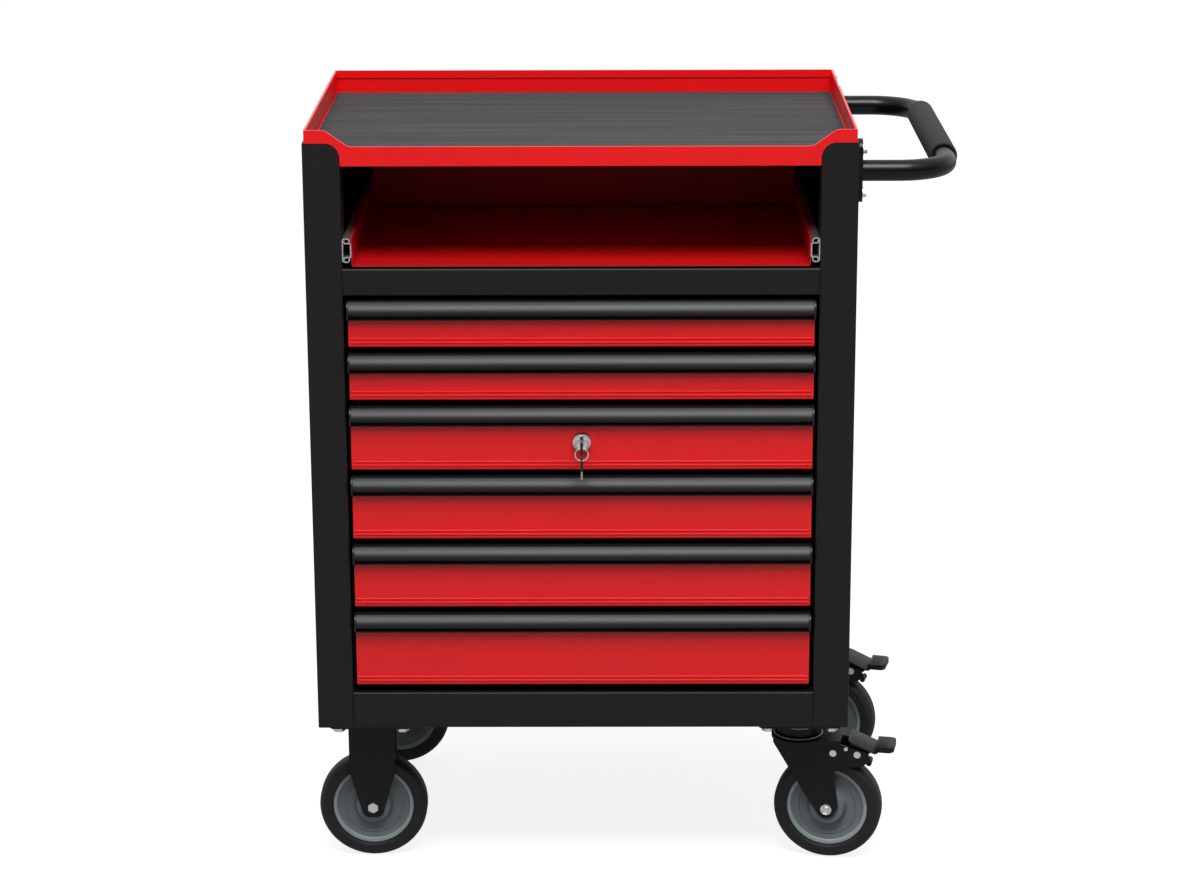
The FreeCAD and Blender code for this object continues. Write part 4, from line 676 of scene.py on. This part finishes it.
# A fixed castor's axle is a bolt with a hexagon head and nut; a swivel castor's is a rivet with turned rings.
def addAxle(look, place, turn, name, body, hexagon, *replaced):
    bpy.ops.object.select_all(action="DESELECT")
    bpy.ops.mesh.primitive_cylinder_add(vertices=look["sides"], radius=look["radius"] * mm,
                                        depth=2 * look["half"] * mm)
    parts = [bpy.context.object]
    for facing in (1, -1):
        bpy.ops.mesh.primitive_cylinder_add(
            vertices=6 if hexagon else look["sides"], radius=look["headRadius"] * mm,
            depth=look["headHeight"] * mm,
            location=(0, 0, facing * (look["half"] + look["headHeight"] / 2) * mm))
        head = bpy.context.object
        selectFaces(head, lambda at, normal: normal.z * facing > 0.99)
        stepInwards(look["hexagonSteps"] if hexagon else look["rivetSteps"])
        bpy.ops.object.mode_set(mode="OBJECT")
        softenEdges(head, look["edge"], 2)
        parts.append(head)
    axle = joinPieces(parts)
    axle.rotation_euler = (math.radians(90), 0, turn)
    axle.location = place
    finishPiece(axle, name, "zincPlatedSteel", body, "zinc_steel", *replaced)


addAxle(axleLook, wheelMiddle("front", "left"), 0, "axleFrontLeft", "cabinet", True, "rigid_axles")
addAxle(axleLook, wheelMiddle("rear", "left"), 0, "axleRearLeft", "cabinet", True, "rigid_axles")
for castorEnd, castorFacts in castorPlaces.items():
    addAxle(axleLook, wheelMiddle(castorEnd, "right"), castorFacts["turn"], f"axle{castorEnd.title()}Right",
            f"swivel_{castorEnd}", False, f"swivel_axle_{castorEnd}")
print("axles made")

swivelLook = {
    "upperRing": {"radius": 27.9, "wire": 0.4, "up": -20.6},    # mm, lip of the plate's race
    "lowerRing": {"radius": 27.9, "wire": 0.45, "up": -33.4},   # lip of the fork's race
    "stopRivet": {"along": 57.7, "up": -45.0, "radius": 2.4, "length": 1.4, "edge": 0.5, "sides": 24},
    "rivetSunk": 0.1,                                           # into the cheek
    "stopScrew": {"along": 83.5, "up": -65.0, "radius": 3.2, "length": 18.0, "edge": 1.0, "sides": 32},
}


# A thin bright lip round a swivel race.
def addRing(look, end, name, body):
    bpy.ops.object.select_all(action="DESELECT")
    bpy.ops.mesh.primitive_torus_add(location=castorPlace(end, 0, 0, look["up"]),
                                     major_radius=look["radius"] * mm, minor_radius=look["wire"] * mm,
                                     major_segments=72, minor_segments=10)
    finishPiece(bpy.context.object, name, "zincPlatedSteel", body, "zinc_steel")


# A pin that lies across a swivel castor, with rounded ends.
def addCrossPin(look, end, across):
    bpy.ops.object.select_all(action="DESELECT")
    bpy.ops.mesh.primitive_cylinder_add(vertices=look["sides"], radius=look["radius"] * mm,
                                        depth=look["length"] * mm,
                                        location=castorPlace(end, look["along"], across, look["up"]),
                                        rotation=(math.radians(90), 0, castorPlaces[end]["turn"]))
    pin = bpy.context.object
    softenEdges(pin, look["edge"], 3)
    return pin


# Small turned pieces of a brake: a rivet on each cheek and the screw that limits the pedal.
def addBrakeFittings(look, end):
    rivet = look["stopRivet"]
    reach = forkOuter / mm + rivet["length"] / 2 - look["rivetSunk"]
    rivets = joinPieces([addCrossPin(rivet, end, side * reach) for side in (-1, 1)])
    finishPiece(rivets, f"stopRivets{end.title()}", "zincPlatedSteel", f"swivel_{end}", "zinc_steel")
    screw = addCrossPin(look["stopScrew"], end, 0)
    finishPiece(screw, f"stopScrew{end.title()}", "blackCastorPaint", f"swivel_{end}", "black_steel")


pedalLook = {
    "half": 21,                      # mm, half the plate's width
    "rear": (60, -33.6),             # plate's rear edge, along and up
    "knee": (91, -46.6),             # its lowest fold
    "tongue": (3.5, 0.4),            # plate's end in the pad, along and up from the knee
    "sheet": 1.6,
    "rearRound": 6,
    "edge": 0.35,
    "pad": {"from": 91.5, "to": 112.6, "half": 18.5, "top": -40.2, "bottom": -46.6, "round": 7},
    "ribs": {"first": 94.5, "pitch": 3.0, "count": 4, "width": 1.5, "height": 1.0, "half": 15.5,
             "sunk": 0.5, "taper": (0.5, 0.96)},    # its top against its foot, along and across
    # The cheek's top follows the plate, and its foot stands on the pivot from one place along to another.
    "cheek": {"inner": 12.2, "outer": 13.8, "low": -55.5, "footFrom": 65.5, "footTo": 77, "footRound": 4.5,
              "fromRear": 1, "fromKnee": 2, "underTop": 1, "overKnee": 0.2},
}


# The pedal's plate, which slopes down from its rear edge to the knee and narrows into the pad.
def addPedalPlate(look):
    half, pad = look["half"], look["pad"]
    (rear, top), (knee, low) = look["rear"], look["knee"]
    along, up = look["tongue"]
    plate = addBlock((rear, -half, top - look["sheet"]), (knee, half, top))
    selectFaces(plate, lambda at, normal: normal.x > 0.9)
    bpy.ops.transform.translate(value=(0, 0, (low - top) * mm))
    bpy.ops.mesh.extrude_region_move(TRANSFORM_OT_translate={"value": (along * mm, 0, up * mm)})
    bpy.ops.transform.resize(value=(1, pad["half"] / half, 1), center_override=(knee * mm, 0, low * mm))
    bpy.ops.object.mode_set(mode="OBJECT")
    roundEdges(plate, look["rearRound"], 5,
               lambda a, b: abs(a.z - b.z) > mm and max(a.x, b.x) < (rear + 1) * mm)
    return plate


# The toe pad with a rounded tip, and the ribs across it.
def addToePad(pad, ribs):
    toe = addBlock((pad["from"], -pad["half"], pad["bottom"]), (pad["to"], pad["half"], pad["top"]))
    roundEdges(toe, pad["round"], 6,
               lambda a, b: abs(a.z - b.z) > mm and min(a.x, b.x) > (pad["to"] - 1) * mm)
    start, width = ribs["first"], ribs["width"]
    rib = addBlock((start, -ribs["half"], pad["top"] - ribs["sunk"]),
                   (start + width, ribs["half"], pad["top"] + ribs["height"]))
    selectFaces(rib, lambda at, normal: normal.z > 0.9)
    bpy.ops.transform.resize(value=(*ribs["taper"], 1), center_override=((start + width / 2) * mm, 0, 0))
    bpy.ops.object.mode_set(mode="OBJECT")
    addModifier(rib, "ARRAY", count=ribs["count"], use_relative_offset=False, use_constant_offset=True,
                constant_offset_displace=(ribs["pitch"] * mm, 0, 0))
    return [toe, rib]


# A cheek under the plate that narrows downwards to a round foot on the pivot.
def addCheek(look, side):
    cheek = look["cheek"]
    (rear, top), (knee, low) = look["rear"], look["knee"]
    near, far = sorted((side * cheek["inner"], side * cheek["outer"]))
    front = knee - cheek["fromKnee"]
    web = addBlock((rear + cheek["fromRear"], near, cheek["low"]), (front, far, top - cheek["underTop"]))
    for point in web.data.vertices:
        atFront = point.co.x > (front - 1) * mm
        if point.co.z < (cheek["low"] + 1) * mm:
            point.co.x = (cheek["footTo"] if atFront else cheek["footFrom"]) * mm
        elif atFront:
            point.co.z = (low + cheek["overKnee"]) * mm
    roundEdges(web, cheek["footRound"], 6,
               lambda a, b: abs(a.y - b.y) > mm and max(a.z, b.z) < (cheek["low"] + 1) * mm)
    return web


# A brake pedal: a pressed plate over the fork's ears, its cheeks on the pivot and a ribbed toe pad.
def addPedal(look, end):
    cheeks = [addCheek(look, side) for side in (-1, 1)]
    pedal = joinPieces([addPedalPlate(look)] + addToePad(look["pad"], look["ribs"]) + cheeks)
    softenEdges(pedal, look["edge"], 2)
    pedal.location = cabinetZero + castorPlaces[end]["axis"]
    pedal.rotation_euler = (0, 0, castorPlaces[end]["turn"])
    finishPiece(pedal, f"brakePedal{end.title()}", "blackCastorPaint", f"pedal_{end}", "black_steel",
                f"brake_pedal_{end}")


for castorEnd in castorPlaces:
    addPedal(pedalLook, castorEnd)
    addRing(swivelLook["upperRing"], castorEnd, f"upperRaceLip{castorEnd.title()}", "cabinet")
    addRing(swivelLook["lowerRing"], castorEnd, f"lowerRaceLip{castorEnd.title()}", f"swivel_{castorEnd}")
    addBrakeFittings(swivelLook, castorEnd)
print("castor fittings made")
